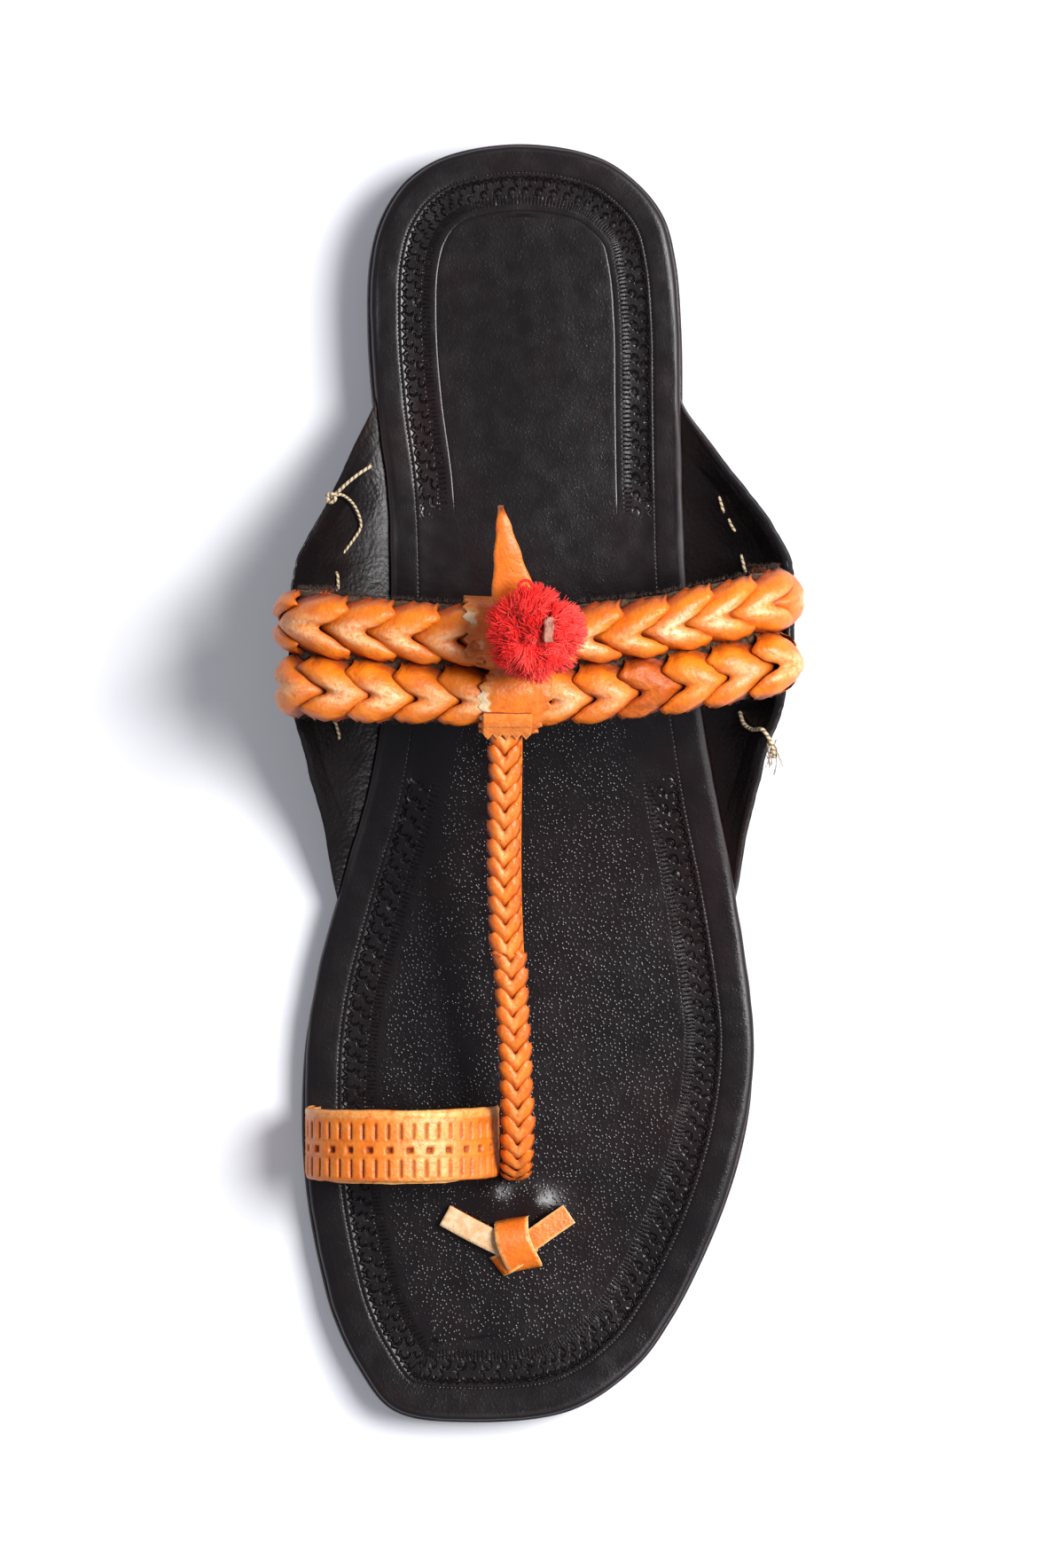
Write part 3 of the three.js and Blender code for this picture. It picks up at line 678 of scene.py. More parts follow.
def places_round(cut_share, spacing):
    """Places round a sole, so that place i and place -i face each other across it: where each is,
    which way is out, and how far round it lies."""
    run = outline(cut_share)
    spans = 2 * len(OUTLINE) + 2
    corners = [run(k / spans)[0] for k in range(spans + 1)]
    longs = [(corners[k + 1] - corners[k]).length for k in range(spans)]
    ts = []
    for k in range(spans):
        steps = max(2, round((longs[k] + longs[spans - 1 - k]) / 2 / spacing))
        ts += [(k + j / steps) / spans for j in range(steps)]
    places, far, before = [], 0.0, None
    for t in ts:
        p, way = run(t)
        far += (p - before).length if before else 0.0
        before = p
        places.append((p, Vector((way.y, -way.x, 0)), far))
    return places


def sole_layer(places, rows, height, fitted=lambda p, row: row["inset"]):
    """A closed sole layer. Each row of rows runs round it: inset from the edge, which fitted may
    change at a place, then share of the way from there to the spine. height(place, row) gives z."""
    n = len(places)

    def place(i, j):
        row = rows[j]
        p, out, _ = places[i % n]
        q, facing, _ = places[-i % n]
        inset = fitted(p, row)
        edge = p - out * inset
        spine = (edge + q - facing * inset) / 2
        spot = edge.lerp(spine, row["share"])
        spot.z = height(spot, row)
        return spot

    def chart(i, j):
        far = places[i % n][2] if i < n else places[-1][2] + 0.5
        return far, rows[j]["inset"] + 20 * rows[j]["share"]

    return closed_up(bent_sheet(n, len(rows) - 1, place, chart))


# ------------------------------------------------------------------ insole


def tool_scale(y):
    """The tooling lies closer to the edge at the heel."""
    return mix(1.0, 0.84, smooth((y + 10) / 70))


def ear_room(y):
    """How far the insole's edge is lifted over the ears."""
    return 2.75 * smooth((y + 27) / 14) * smooth((84 - y) / 14)


def mound(p, x, y, wide, tall):
    away = ((p.x - x) ** 2 + (p.y - y) ** 2) / wide**2
    return tall * math.exp(-away)


def insole():
    places = places_round(0, 0.55)
    row = lambda inset, face, up=0.0, share=0.0: dict(inset=inset, face=face, up=up, share=share)
    rows = [row(10.5, "under", 0, 1), row(10.5, "under", 0, 0.5), row(10.5, "under"), row(9.4, "over_ear")]
    rows += [row(1.0, "over_ear"), row(0.25, "over_ear"), row(0.0, "side", 0.15), row(0.0, "side", 0.45)]
    rows += [row(0.08, "side", 0.72), row(0.35, "side", 0.9), row(0.85, "side", 0.985)]
    insets = [1.5, 2.5, 3.6, 4.8, 5.8, 6.3, 6.55, 6.7, 6.85, 7.1]
    insets += [7.5 + 0.5 * k for k in range(13)] + [14.2, 15.0, 15.6, 15.85, 16.0, 16.15, 16.5, 17.5]
    rows += [row(i, "top") for i in insets]
    rows += [row(17.5, "top", 0, s / 12) for s in range(1, 13)]

    def height(p, r):
        y = p.y
        top = insole_top(y)
        lift = ear_room(y)
        low = outsole_top(y) + GAP
        if r["face"] == "under":
            return low
        if r["face"] == "over_ear":
            return low + lift
        if r["face"] == "side":
            return mix(low + lift, top, r["up"])
        inset = r["inset"]
        dish = 0.2 * smooth((inset - 3) / 8) * (1 - 0.4 * r["share"])
        dish -= 0.25 * ripple(3, p.x, y, size=30)
        zone = max(smooth((-y - 1) / 5), smooth((y - 58) / 5))
        groove = (0.03 + 0.03 * zone) * math.exp(-(((inset - 6.7) / 0.22) ** 2))
        if r["share"] == 0:
            groove += 0.03 * smooth((y - 54) / 8) * math.exp(-(((inset - 16.0) / 0.2) ** 2))
        band = smooth((inset - 7.4) / 0.8) * smooth((14.6 - inset) / 2.6) * zone
        groove += 0.17 * band
        rise = mound(p, -8.2, -85.6, 3.6, 1.1) + mound(p, 0.8, -87.0, 3.4, 1.3)
        return top - dish - groove + rise + 0.05 * ripple(5, p.x, y, size=4)

    # The tooling keeps its own distance from the edge, so rows bunch up a little at the heel.
    def fitted(p, r):
        ragged = 0.12 * ripple(1, p.x, p.y, size=5) if r["inset"] < 1 else 0
        shrink = tool_scale(p.y) if r["inset"] > 1 else 1
        return r["inset"] * shrink + ragged

    bm = sole_layer(places, rows, height, fitted)
    return piece("insole_tooled", bm, INSOLE_LEATHER, "black_leather", "insole")


# ------------------------------------------------------------------ outsole and heel


def slab_rows(steps):
    row = lambda inset, up, share=0.0: dict(inset=inset, up=up, share=share)
    rows = [row(3.0, 0, s / steps) for s in range(steps, 0, -1)]
    rows += [row(3.0, 0), row(1.4, 0), row(0.7, 0.02), row(0.25, 0.1), row(0.05, 0.24), row(0, 0.4)]
    rows += [row(0, 0.6), row(0.02, 0.78), row(0.15, 0.92), row(0.5, 1), row(3.0, 1)]
    rows += [row(3.0, 1, s / steps) for s in range(1, steps + 1)]
    return rows


def outsole():
    places = [(p + out * OUTSOLE_RIM, out, far) for p, out, far in places_round(1, 1.1)]

    def height(p, r):
        wavy = 0.12 * ripple(8, p.x, p.y, size=9) if 0 < r["up"] < 1 else 0
        crown = 0.25 * r["share"] if r["up"] == 0 and p.y > TOE_BREAK_Y else 0
        return underside_z(p.y) + OUTSOLE_THICK * r["up"] + wavy + (crown * smooth((p.y + 30) / 30))

    bm = sole_layer(places, slab_rows(6), height)
    return piece("outsole_layer", bm, SOLE_LEATHER, "sole_leather", "outsole")


def heel():
    places = [(p + out * (OUTSOLE_RIM - 0.2), out, far) for p, out, far in places_round(1, 1.1)]
    tall = HEEL_RISE - GAP
    bm = sole_layer(places, slab_rows(2), lambda p, r: tall * r["up"])
    everything = bm.verts[:] + bm.edges[:] + bm.faces[:]
    breast = bmesh.ops.bisect_plane(
        bm, geom=everything, dist=1e-6, plane_co=(0, HEEL_BREAST_Y * MM, 0), plane_no=(0, -1, 0),
        clear_outer=True,
    )
    rim = [e for e in breast["geom_cut"] if isinstance(e, bmesh.types.BMEdge)]
    bmesh.ops.holes_fill(bm, edges=rim, sides=0)
    sharp = [e for e in rim if e.is_valid]
    bmesh.ops.bevel(
        bm, geom=sharp, offset=0.35 * MM, offset_type="OFFSET", segments=2, profile=0.5,
        affect="EDGES", clamp_overlap=True, material=-1,
    )
    for v in bm.verts:
        x, y, z = v.co / MM
        layer = math.exp(-(((z - 4.9) / 0.35) ** 2)) if y > HEEL_BREAST_Y + 1 else 0
        worn = 0.12 * ripple(9, x, y, z, size=2.5)
        away = Vector((x + 1, y - 92, 0)).normalized()
        v.co -= away * (0.18 * layer + worn) * MM
    return piece("heel_lift", bm, HEEL_LEATHER, "sole_leather", "heel", smooth_by=40)


# ------------------------------------------------------------------ ears

SIDE = {"inner": -1, "outer": 1}


def ear_middle(side, y, across):
    """The middle of an ear's leather: across is 0 at its root and 1 at its edge."""
    rows = EARS[side]
    out = column(rows, "out", y)
    up = max(0.0, column(rows, "up", y))
    edge = abs(column(OUTLINE, side, y))
    root_z = outsole_top(y) + GAP + EAR_THICK / 2
    start = edge - EAR_BEND_INSET
    if across < 0.25:
        x = start - (EAR_ROOT - EAR_BEND_INSET) * (1 - across / 0.25)
        return Vector((SIDE[side] * x, y, root_z))
    t = (across - 0.25) / 0.75
    reach = out + EAR_BEND_INSET
    x = start + 2 * t * (1 - t) * 0.64 * reach + t * t * reach
    z = root_z + 2 * t * (1 - t) * 0.1 * up + t * t * up
    return Vector((SIDE[side] * x, y, z))


def ear_normal(side, y, across):
    """Out of an ear's upper (inner) face."""
    along = ear_middle(side, y, min(1, across + 0.01)) - ear_middle(side, y, max(0, across - 0.01))
    along.normalize()
    return Vector((-along.z, 0, along.x)) * SIDE[side]


def ear_across(side, y, off_edge):
    """The share of the way up an ear that lies off_edge millimetres from its free edge."""
    tip = ear_middle(side, y, 1)
    share = 1.0
    while share > 0.26 and (ear_middle(side, y, share) - tip).length < off_edge:
        share -= 0.01
    return share


def on_ear(side, x, y, lift=0.0):
    """The place on an ear's upper face that lies under x and y."""
    low, high = 0.0, 1.0
    while high - low > 0.005:
        middle = (low + high) / 2
        if abs(ear_middle(side, y, middle).x) < abs(x):
            low = middle
        else:
            high = middle
    return ear_middle(side, y, low) + ear_normal(side, y, low) * (EAR_THICK / 2 + lift)


def ear(side):
    rows = EARS[side]
    front, back = rows[0]["y"], rows[-1]["y"]
    columns, steps = 170, 44

    def place(i, j):
        y = mix(front, back, i / columns)
        across = j / steps
        p = ear_middle(side, y, across)
        tall = clamp01(column(rows, "up", y) / 20)
        free = smooth((across - 0.35) / 0.3)
        tip = (ear_middle(side, y, 1) - p).length
        ragged = 0.35 * ripple(21, y, 0, size=1.1) + 0.4 * ripple(22, y, 0, size=5)
        if across > 0.97:
            p += (ear_middle(side, y, 1) - ear_middle(side, y, 0.95)).normalized() * ragged * tall
        folds = 0.9 * ripple(23, y, across * 8, size=13) + 0.3 * ripple(24, y, across * 14, size=4)
        waves = math.sin(y / 3.1 + 2.2 * ripple(25, y, across * 6, size=9))
        folds += 0.55 * waves * smooth((0.72 - across) / 0.3)
        beside_band = smooth((y - 8) / 8) * smooth((50 - y) / 8)
        p.z -= 1.3 * smooth((2.8 - tip) / 2.8) * tall * (1 - beside_band)
        hem = 0.28 * smooth((7.2 - tip) / 0.7) - 0.3 * math.exp(-(((tip - 7.0) / 0.6) ** 2))
        under_band = beside_band * smooth((9 - tip) / 3)
        lift = free * tall * folds * (1 - 0.85 * under_band) + hem * tall * free * (1 - under_band)
        return p + ear_normal(side, y, across) * (lift * 0.7 + EAR_THICK / 2)

    def chart(i, j):
        y = mix(front, back, i / columns)
        return y + 100, (ear_middle(side, y, 1) - ear_middle(side, y, j / steps)).length

    bm = bent_sheet(columns, steps, place, chart)
    walled(bm, EAR_THICK, turned=side == "outer")
    return piece("ear_%s_flap" % side, bm, EAR_LEATHER, "black_leather", "ear_" + side)


# ------------------------------------------------------------------ the instep band

band_at = through([(r["x"], r["y"], r["z"]) for r in BAND_RUN])
BAND_LENGTH, band_t = measured(band_at)
HALF_BAND = BAND_LENGTH / 2


def along_rows(rows, name, t):
    at = t * (len(rows) - 1)
    i = min(len(rows) - 2, int(at))
    return mix(rows[i][name], rows[i + 1][name], smooth(at - i))


def over_band(s, a, h):
    """A place over the instep band: s along it from its middle, a across it towards the heel and h
    above the face that the braids are sewn to."""
    t = band_t(s + HALF_BAND)
    spot, way = band_at(t)
    way.y = 0
    way.normalize()
    tilt = INSTEP_SLOPE * along_rows(BAND_RUN, "slope", t)
    up = way.cross(Vector((0, math.cos(tilt), math.sin(tilt)))).normalized()
    return spot + up.cross(way) * a + up * h


def eased(s, limit, room=4.0):
    """Slows s down near the end of a run, so that it never passes limit."""
    past = abs(s) - (limit - room)
    return s if past < 0 else math.copysign(limit - room + room * 0.95 * (1 - math.exp(-past / room)), s)


def band_press(s):
    return along_rows(BAND_RUN, "thick", band_t(s + HALF_BAND))


def link(
    over, s0, way, half, pitch, run, tall, low, press, thick, seed,
    notch=1.16, columns=26, rows=10, rough=0.0,
):
    """One chevron of a braid: a strip of leather folded to a V, plump in the middle of each arm and
    tucked under the next link at its point and under the braid at its ends."""
    size = 1 + 0.04 * ripple(seed, s0, size=3)
    skew = 0.25 * ripple(seed + 1, s0, size=3)
    plump = 1 + 0.12 * ripple(seed + 3, s0, size=3)

    def place(i, j):
        a = mix(-1, 1, i / columns)
        off, v = abs(a), j / rows
        wide = mix(notch, 1.36, smooth(off / 0.3)) - 0.82 * smooth((off - 0.6) / 0.4)
        bow = math.sqrt(a * a + 0.006) - math.sqrt(0.006) - 0.1 * math.sin(math.pi * off)
        s = s0 + way * (run * half * bow + (v * wide - 0.06 + 0.3 * smooth((off - 0.6) / 0.4)) * pitch)
        lobe = math.copysign((0.1 * math.sin(math.pi * v) - 0.05) * pitch, a) * smooth((off - 0.5) / 0.5)
        out = half * a * size + lobe + skew
        crown = 1 - off**3.0 - 0.05 * (1 - smooth(off / 0.3))
        rise = smooth((v + 0.06) / 0.62) ** 0.8
        curl = 0.3 * smooth((v - 0.74) / 0.26)
        height = low + (tall * plump - low) * (0.2 + 0.8 * crown) * rise * (1 - curl)
        height -= 1.1 * smooth((off - 0.84) / 0.16)
        height += 0.2 * ripple(seed + 2, s, out * 2, size=2.6)
        height += 0.08 * ripple(seed + 5, s, out * 2, size=0.9)
        scuffs = 0.7 * ripple(seed + 8, s, out, size=1.7) + 0.4 * ripple(seed + 9, s, out, size=0.7)
        height += rough * scuffs
        return over(s, out, max(height * press(s), 0.15))

    def chart(i, j):
        return 14 * i / columns + 20, 5 * j / rows

    def tint(i, j):
        a = abs(mix(-1, 1, i / columns))
        v = j / rows
        # Painted shade where the leading edge tucks under its neighbour, at the arm ends where they go
        # under the braid, and under the curled trailing edge.
        tucked, ends = 0.95 * smooth((0.36 - v) / 0.28), 0.8 * smooth((a - 0.76) / 0.24)
        dark = max(tucked, ends, 0.45 * smooth((v - 0.95) / 0.05))
        # A random redder tone, and the scuffed link darker, are stains on the leather itself.
        red = 0.22 * smooth(0.5 + 1.6 * ripple(seed + 6, s0, a * 4, size=4)) - 0.12
        # Paler on the crest near the point: partly wear, partly a painted highlight.
        wear_and_highlight = math.exp(-(((v - 0.66) / 0.24) ** 2)) * math.exp(-(((a - 0.14) / 0.26) ** 2))
        wear_and_highlight *= 0.55 + 0.5 * ripple(seed + 4, s0, a, size=3)
        return clamp01(dark + red + 0.62 * rough), wear_and_highlight * (1 - rough)

    return walled(bent_sheet(columns, rows, place, chart, tint), thick, turned=way > 0)


def braids():
    half = BAND_WIDTH / 4 - 0.25
    parts = []
    for middle, way in ((BAND_WIDTH / 4, 1), (-BAND_WIDTH / 4, -1)):
        over = lambda s, a, h, middle=middle: over_band(eased(s, HALF_BAND), a + middle, h)
        first = -HALF_BAND - 4 if way > 0 else -HALF_BAND + 8
        for k in range(int((BAND_LENGTH + 4) / LINK_PITCH)):
            s0 = first + LINK_PITCH * k + 0.5 * ripple(41 + way, k * 3.7, size=2)
            settle = smooth((HALF_BAND + 2 - abs(s0 + way * 8)) / 22)
            run = (1.45 if way > 0 else 1.15) * (0.35 + 0.65 * settle)
            scuffed = 1.0 if way < 0 and abs(s0 - SCUFFED_AT) < LINK_PITCH / 2 else 0.0
            tall = BRAID_THICK + 0.8 - 0.5 * scuffed
            parts.append(link(
                over, s0, way, half, LINK_PITCH, run, tall, 0.6, band_press, 1.1, 50 + k, rough=scuffed,
            ))
    return piece("instep_braids", gathered(parts), BRAID_LEATHER, "tan_leather", "upper")


def backing():
    columns, rows = 150, 20
    half = BAND_WIDTH / 2

    def place(i, j):
        s = mix(-HALF_BAND, HALF_BAND, i / columns)
        ragged = 0.35 * ripple(61, s, j > rows / 2, size=1.5)
        a = mix(-half + 0.5 - ragged, half - 0.1 + ragged, j / rows)
        return over_band(s, a, 0.1 + 0.15 * ripple(62, s, a, size=2))

    bm = walled(bent_sheet(columns, rows, place, lambda i, j: (i, j)), BACKING_THICK)
    hairs = []
    for _ in range(NAP_HAIRS):
        s = random.uniform(-HALF_BAND, HALF_BAND)
        back = random.random() < 0.72
        a = half + 0.1 if back else -half + 0.4
        lean = Vector((random.uniform(-0.7, 0.7), random.uniform(-0.3, 0.7), 0))
        root = over_band(s, a, random.uniform(-1.2, 0.1))
        reach = (1 if back else -1) * random.uniform(0.3, 0.95)
        tip = over_band(s + lean.x, a + reach, random.uniform(-1.4, 0.5))
        hairs.append((root, tip))
    pour(bm, bristles(hairs, 0.07))
    return piece("band_backing", bm, NAP, "black_leather")


TUFT = 150


def bristles(pairs, thick, tint=None):
    """Short tapered hairs, each from a root to a tip, made a tuft at a time."""
    tufts = []
    for first in range(0, len(pairs), TUFT):
        bm, _, painted_shade_and_stain, _ = blank_mesh()
        for number, (root, tip) in enumerate(pairs[first : first + TUFT], first):
            way = tip - root
            turn = way.to_track_quat("Z", "Y").to_matrix().to_4x4()
            place = Matrix.Translation((root + tip) / 2 * MM) @ turn
            made = bmesh.ops.create_cone(
                bm, segments=3, radius1=thick * MM, radius2=thick * 0.25 * MM, depth=way.length * MM,
                cap_ends=True, cap_tris=True, matrix=place,
            )
            if tint:
                for v in made["verts"]:
                    v[painted_shade_and_stain] = tint(number)
        tufts.append(bm)
    return gathered(tufts)


# ------------------------------------------------------------------ wrap, tab, pompom and pin


def swell(v):
    return 1.8 + (BRAID_THICK - 1.8) * (1 - abs(2 * v - 1) ** 8)


def zigzag(run, pitch):
    return abs((run / pitch) % 1 - 0.5) * 2


WRAP_STATIONS = (0.06, 0.14, 0.25, 0.36, 0.43, 0.5, 0.57, 0.64, 0.75, 0.86, 0.94)
STAMPED_RINGS = ((-12.2, 6, 1.0), (-11.4, 2.8, 0.8))


def centre_wrap():
    """The wrap goes once round the band. Its two cut edges are pinked."""
    half = BAND_WIDTH / 2
    rim = half + 0.9
    low, top = -BACKING_THICK - 0.9, 0.9
    section = [(-rim * 0.5, low), (-rim, low), (-rim - 0.5, 0.2), (-rim + 0.2, 2.9)]
    for v in WRAP_STATIONS:
        between_braids = 2.3 * math.exp(-(((v - 0.5) / 0.07) ** 2))
        section.append((mix(-half, half, v), swell(v) + top - between_braids))
    section += [(rim - 0.2, 2.9), (rim + 0.5, 0.2), (rim, low), (rim * 0.5, low)]
    ring = through([(a, h, 0) for a, h in section], closed=True)
    length, at_length = measured(ring)
    columns, rows = 40, 190

    def place(i, j):
        far = length * j / rows
        a, h, _ = ring(at_length(far))[0] if j < rows else ring(0)[0]
        tooth = 1.2 * zigzag(far, length / 30)
        left = mix(-12.2, -15.0, smooth((a + 1) / 4)) + 1.8 * math.exp(-((a / 1.6) ** 2))
        left += tooth + 0.9 * ripple(71, a, size=4)
        right = 0.5
        if h > 0:
            right = 1.6 + 1.6 * math.exp(-(((a + 5.5) / 3.6) ** 2)) - 1.0 * smooth((-a - 9) / 4)
        right += 0.7 * ripple(72, a, size=6) - tooth
        s = mix(left, right, i / columns)
        rumple = 0.35 * ripple(73, s, a, size=3) + 0.3 * ripple(74, s, a, size=9)
        for ring_s, ring_a, radius in STAMPED_RINGS:
            off = ((s - ring_s) ** 2 + (a - ring_a) ** 2) ** 0.5 - radius
            rumple -= 0.6 * math.exp(-(off / 0.28) ** 2)
        edge = 0.3 * smooth((abs(2 * i / columns - 1) - 0.8) / 0.2)
        return over_band(s, a, h + (rumple - edge) * (1 if h > 1 else 0.2))

    def tint(i, j):
        edge = abs(2 * i / columns - 1)
        a, h, _ = ring(at_length(length * j / rows))[0]
        torn = math.exp(-(((a + 6.2) / 3.6) ** 2)) + math.exp(-(((a - 11.6) / 1.6) ** 2))
        torn *= smooth((0.17 - i / columns) / 0.06)
        worn = 0.5 * smooth((edge - 0.93) / 0.07) + 0.2 + (2.2 * torn if h > 0 else 0)
        # Darker towards both cut edges.
        return 0.3 * smooth((edge - 0.5) / 0.5), worn

    bm = bent_sheet(columns, rows, place, lambda i, j: (i, length * j / rows), tint)
    bmesh.ops.remove_doubles(bm, verts=bm.verts, dist=2e-6)
    parts = [walled(bm, 0.9), front_flap()]
    return piece("centre_wrap_pinked", gathered(parts), WRAP_LEATHER, "tan_leather", "centre_wrap")


def front_flap():
    """The flap over the top of the toe strap, cut to teeth at its front; the slit behind it is a line of
    painted shade along its back edge.
    """
    columns, rows = 40, 26
    half = BAND_WIDTH / 2

    def place(i, j):
        x = mix(-10.9, -1.2, i / columns)
        tooth = 1.6 * zigzag(x + 10.9, 9.7 / 5)
        a = mix(-half + 4.9, -half - 2.0 + tooth, j / rows)
        v = clamp01((a + half) / BAND_WIDTH)
        over_edge = -half + 1.5 - a
        h = swell(v) + 1.55 if over_edge < 0 else mix(swell(0.05) + 1.55, 3.0, clamp01(over_edge / 3.5))
        h += 0.15 * ripple(75, x, a, size=3)
        return over_band(x, a, h)

    def tint(i, j):
        # Painted shade along the back edge stands in for the slit; the teeth are bare and paler.
        return (1.0 if j < 1 else 0.0), 0.35 + 1.3 * smooth((j / rows - 0.93) / 0.07)

    flap = bent_sheet(columns, rows, place, lambda i, j: (i / 4, j / 4), tint)
    return walled(flap, 0.8, turned=True)


def strip(run, width, thick, columns, rows, lift=None, across=None, tint=None):
    """A flat strip of leather along a run, open below, then given its wall."""

    def place(i, j):
        t = i / columns
        spot, way = run(t)
        flat = Vector(across or (1, 0, 0))
        flat = (flat - way * flat.dot(way)).normalized()
        up = way.cross(flat)
        side = mix(-0.5, 0.5, j / rows)
        spot = spot + flat * side * width(t)
        return spot + up * (thick / 2 + (lift(t, side) if lift else 0))

    return walled(bent_sheet(columns, rows, place, lambda i, j: (i * 0.5, j * 0.5), tint), thick)


def tail_tab():
    run = through([(r["x"], r["y"], r["z"]) for r in TAB_RUN])
    width = lambda t: along_rows(TAB_RUN, "width", t)

    def lift(t, side):
        curl = 2.4 * smooth((t - 0.9) / 0.1) * (0.5 - side)
        return 0.25 * ripple(81, t * 30, side * 5, size=4) + curl - 1.0 * side * side

    # Painted shade at the root, where the tab comes out from under the pompom; its cut edges are a little
    # paler.
    tint = lambda i, j: (0.6 * smooth((0.12 - i / 60) / 0.1), 0.25 if j in (0, 8) else 0.1)
    bm = strip(run, width, 1.3, 60, 8, lift, across=(-1, 0, 0), tint=tint)
    return piece("tail_tab_leather", bm, WRAP_LEATHER, "tan_leather", "tail_tab")


POMPOM_AT = Vector((-1.7, 29.5, 66.9))
PIN_AT = Vector((0.7, 30.2, 67.6))
LEAN = Matrix.Rotation(INSTEP_SLOPE, 3, "X")
WOOL_STRANDS = 7500


def pompom():
    """A ball of wool, flat on top round its pin and drawn in to the tab below."""
    wide, tall, deep = 9.2, 5.6, 8.4

    def bulge(way):
        lobes = 1 + 0.08 * math.cos(3 * (math.atan2(way.y, way.x) - 0.17)) * (1 - way.z**2)
        way = Vector((way.x * lobes, way.y * lobes, way.z))
        if way.z > 0:
            return Vector((way.x * wide, way.y * wide, way.z * tall))
        drawn_in = 1 - 0.45 * way.z**2
        return Vector((way.x * wide * drawn_in, way.y * wide * drawn_in, way.z * deep))

    bm, _, painted_shade_and_stain, _ = blank_mesh()
    bmesh.ops.create_icosphere(bm, subdivisions=4, radius=1)
    for v in bm.verts:
        way = v.co.copy()
        hub = math.exp(-((way.x - 0.26) ** 2 + (way.y - 0.3) ** 2) / 0.03) * (way.z > 0)
        dent = 0.2 * ripple(92, *(way * 3.2), size=1) - 0.35 * hub
        core = bulge(way) * (0.72 + dent)
        # Painted shade: the core, deep inside the wool, is darker.
        v[painted_shade_and_stain] = 0.8
        v.co = (POMPOM_AT + LEAN @ core) * MM
    hairs, shade = [], []
    for _ in range(WOOL_STRANDS):
        z = random.uniform(-1, 1)
        turn = random.uniform(0, math.tau)
        flat = math.sqrt(1 - z * z)
        way = Vector((flat * math.cos(turn), flat * math.sin(turn), z))
        if z > 0 and Vector((way.x - 0.26, way.y - 0.3, 0)).length < 0.15:
            continue
        clump = ripple(92, *(way * 3.2), size=1)
        long = 0.92 + 0.34 * clump + random.uniform(-0.07, 0.08)
        ball = bulge(way)
        swirl = Vector([ripple(seed, *(way * 2.4), size=1) for seed in (93, 94, 96)])
        stray = Vector((random.gauss(0, 1), random.gauss(0, 1), random.gauss(0, 0.7))) * 0.8
        tip = ball * long + swirl * 4.0 + stray
        reach = Vector((tip.x / wide, tip.y / wide, tip.z / (tall if tip.z > 0 else deep))).length
        tip = tip * min(1, 1.14 / max(1e-3, reach))
        tip.z = max(tip.z, -deep + 0.1)
        hairs.append((POMPOM_AT + LEAN @ (ball * 0.74), POMPOM_AT + LEAN @ tip))
        # Painted shade: hairs in the hollows between clumps are darker.
        shade.append(clamp01(0.06 - 0.8 * clump + random.uniform(-0.1, 0.15)))
    pour(bm, bristles(hairs, 0.22, lambda k: shade[k]))
    return piece("pompom_wool", bm, WOOL, "red_wool", "pompom")


def pompom_pin():
    bm, _, painted_shade_and_stain, _ = blank_mesh()
    bmesh.ops.create_cube(bm, size=1)
    bmesh.ops.subdivide_edges(bm, edges=bm.edges[:], cuts=5, use_grid_fill=True)
    for v in bm.verts:
        x, y, z = v.co
        x, y = x * 2.0 * (1 - 0.25 * abs(y)), y * 5.0
        drop = 0.7 * smooth(-y / 2.5) if z > 0 else 0
        spot = Vector((x + 0.2 * ripple(95, y, z * 6, size=1), y, z * 12.4 - drop))
        v[painted_shade_and_stain] = smooth((-y - 0.6) / 1.0)
        v.co = (PIN_AT + spot) * MM
    sharp = [e for e in bm.edges if e.calc_face_angle(0) > 1]
    bmesh.ops.bevel(
        bm, geom=sharp, offset=0.3 * MM, segments=2, profile=0.5, affect="EDGES", material=-1,
    )
    return piece("pompom_pin_leather", bm, PIN, "pin_leather", "pompom_pin")


def cord_along(run, thick, sides=7, per_mm=2.0, wobble=0.0, seed=1):
    """A round thread along a run, a little uneven."""
    length, t_at = measured(run, 120)
    columns = max(6, int(length * per_mm))

    def place(i, j):
        t = t_at(length * i / columns)
        spot, way = run(t)
        flat = way.cross(Vector((0.3, 0.2, 1))).normalized()
        up = way.cross(flat)
        turn = math.tau * (j % sides) / sides
        fat = thick / 2 * (1 + 0.12 * ripple(seed, i, size=2))
        stray = Vector((ripple(seed + 1, i, size=6), ripple(seed + 2, i, size=6), 0)) * wobble
        return spot + stray + (flat * math.cos(turn) + up * math.sin(turn)) * fat

    return closed_up(bent_sheet(columns, sides, place, lambda i, j: (length * i / columns, j / sides)))


def red_thread():
    steps = (
        (0.5, 6.5, 2), (0.2, 8.6, 1.2), (-1.8, 10.6, 1.2), (-3.2, 9.8, 1.0), (-2.6, 8.0, 1.2),
        (-0.8, 7.2, 1.6),
    )
    run = through([POMPOM_AT + Vector(step) for step in steps])
    return piece("red_thread_loop", cord_along(run, 0.7), WOOL, "red_wool")


# ------------------------------------------------------------------ toe strap, loop and knot

toe_strap_at = through(TOE_STRAP_RUN)
TOE_STRAP_LENGTH, toe_strap_t = measured(toe_strap_at)
PLAIT_PITCH = 3.9


def over_toe_strap(s, a, h):
    spot, way = toe_strap_at(toe_strap_t(s))
    flat = Vector((1, 0, 0))
    flat = (flat - way * flat.dot(way)).normalized()
    jog = -0.7 + 1.4 * smooth((s - 52) / 3) if s < 52 else 0.7
    return spot + flat * (a + 0.5 * jog - 0.35) + way.cross(flat) * h


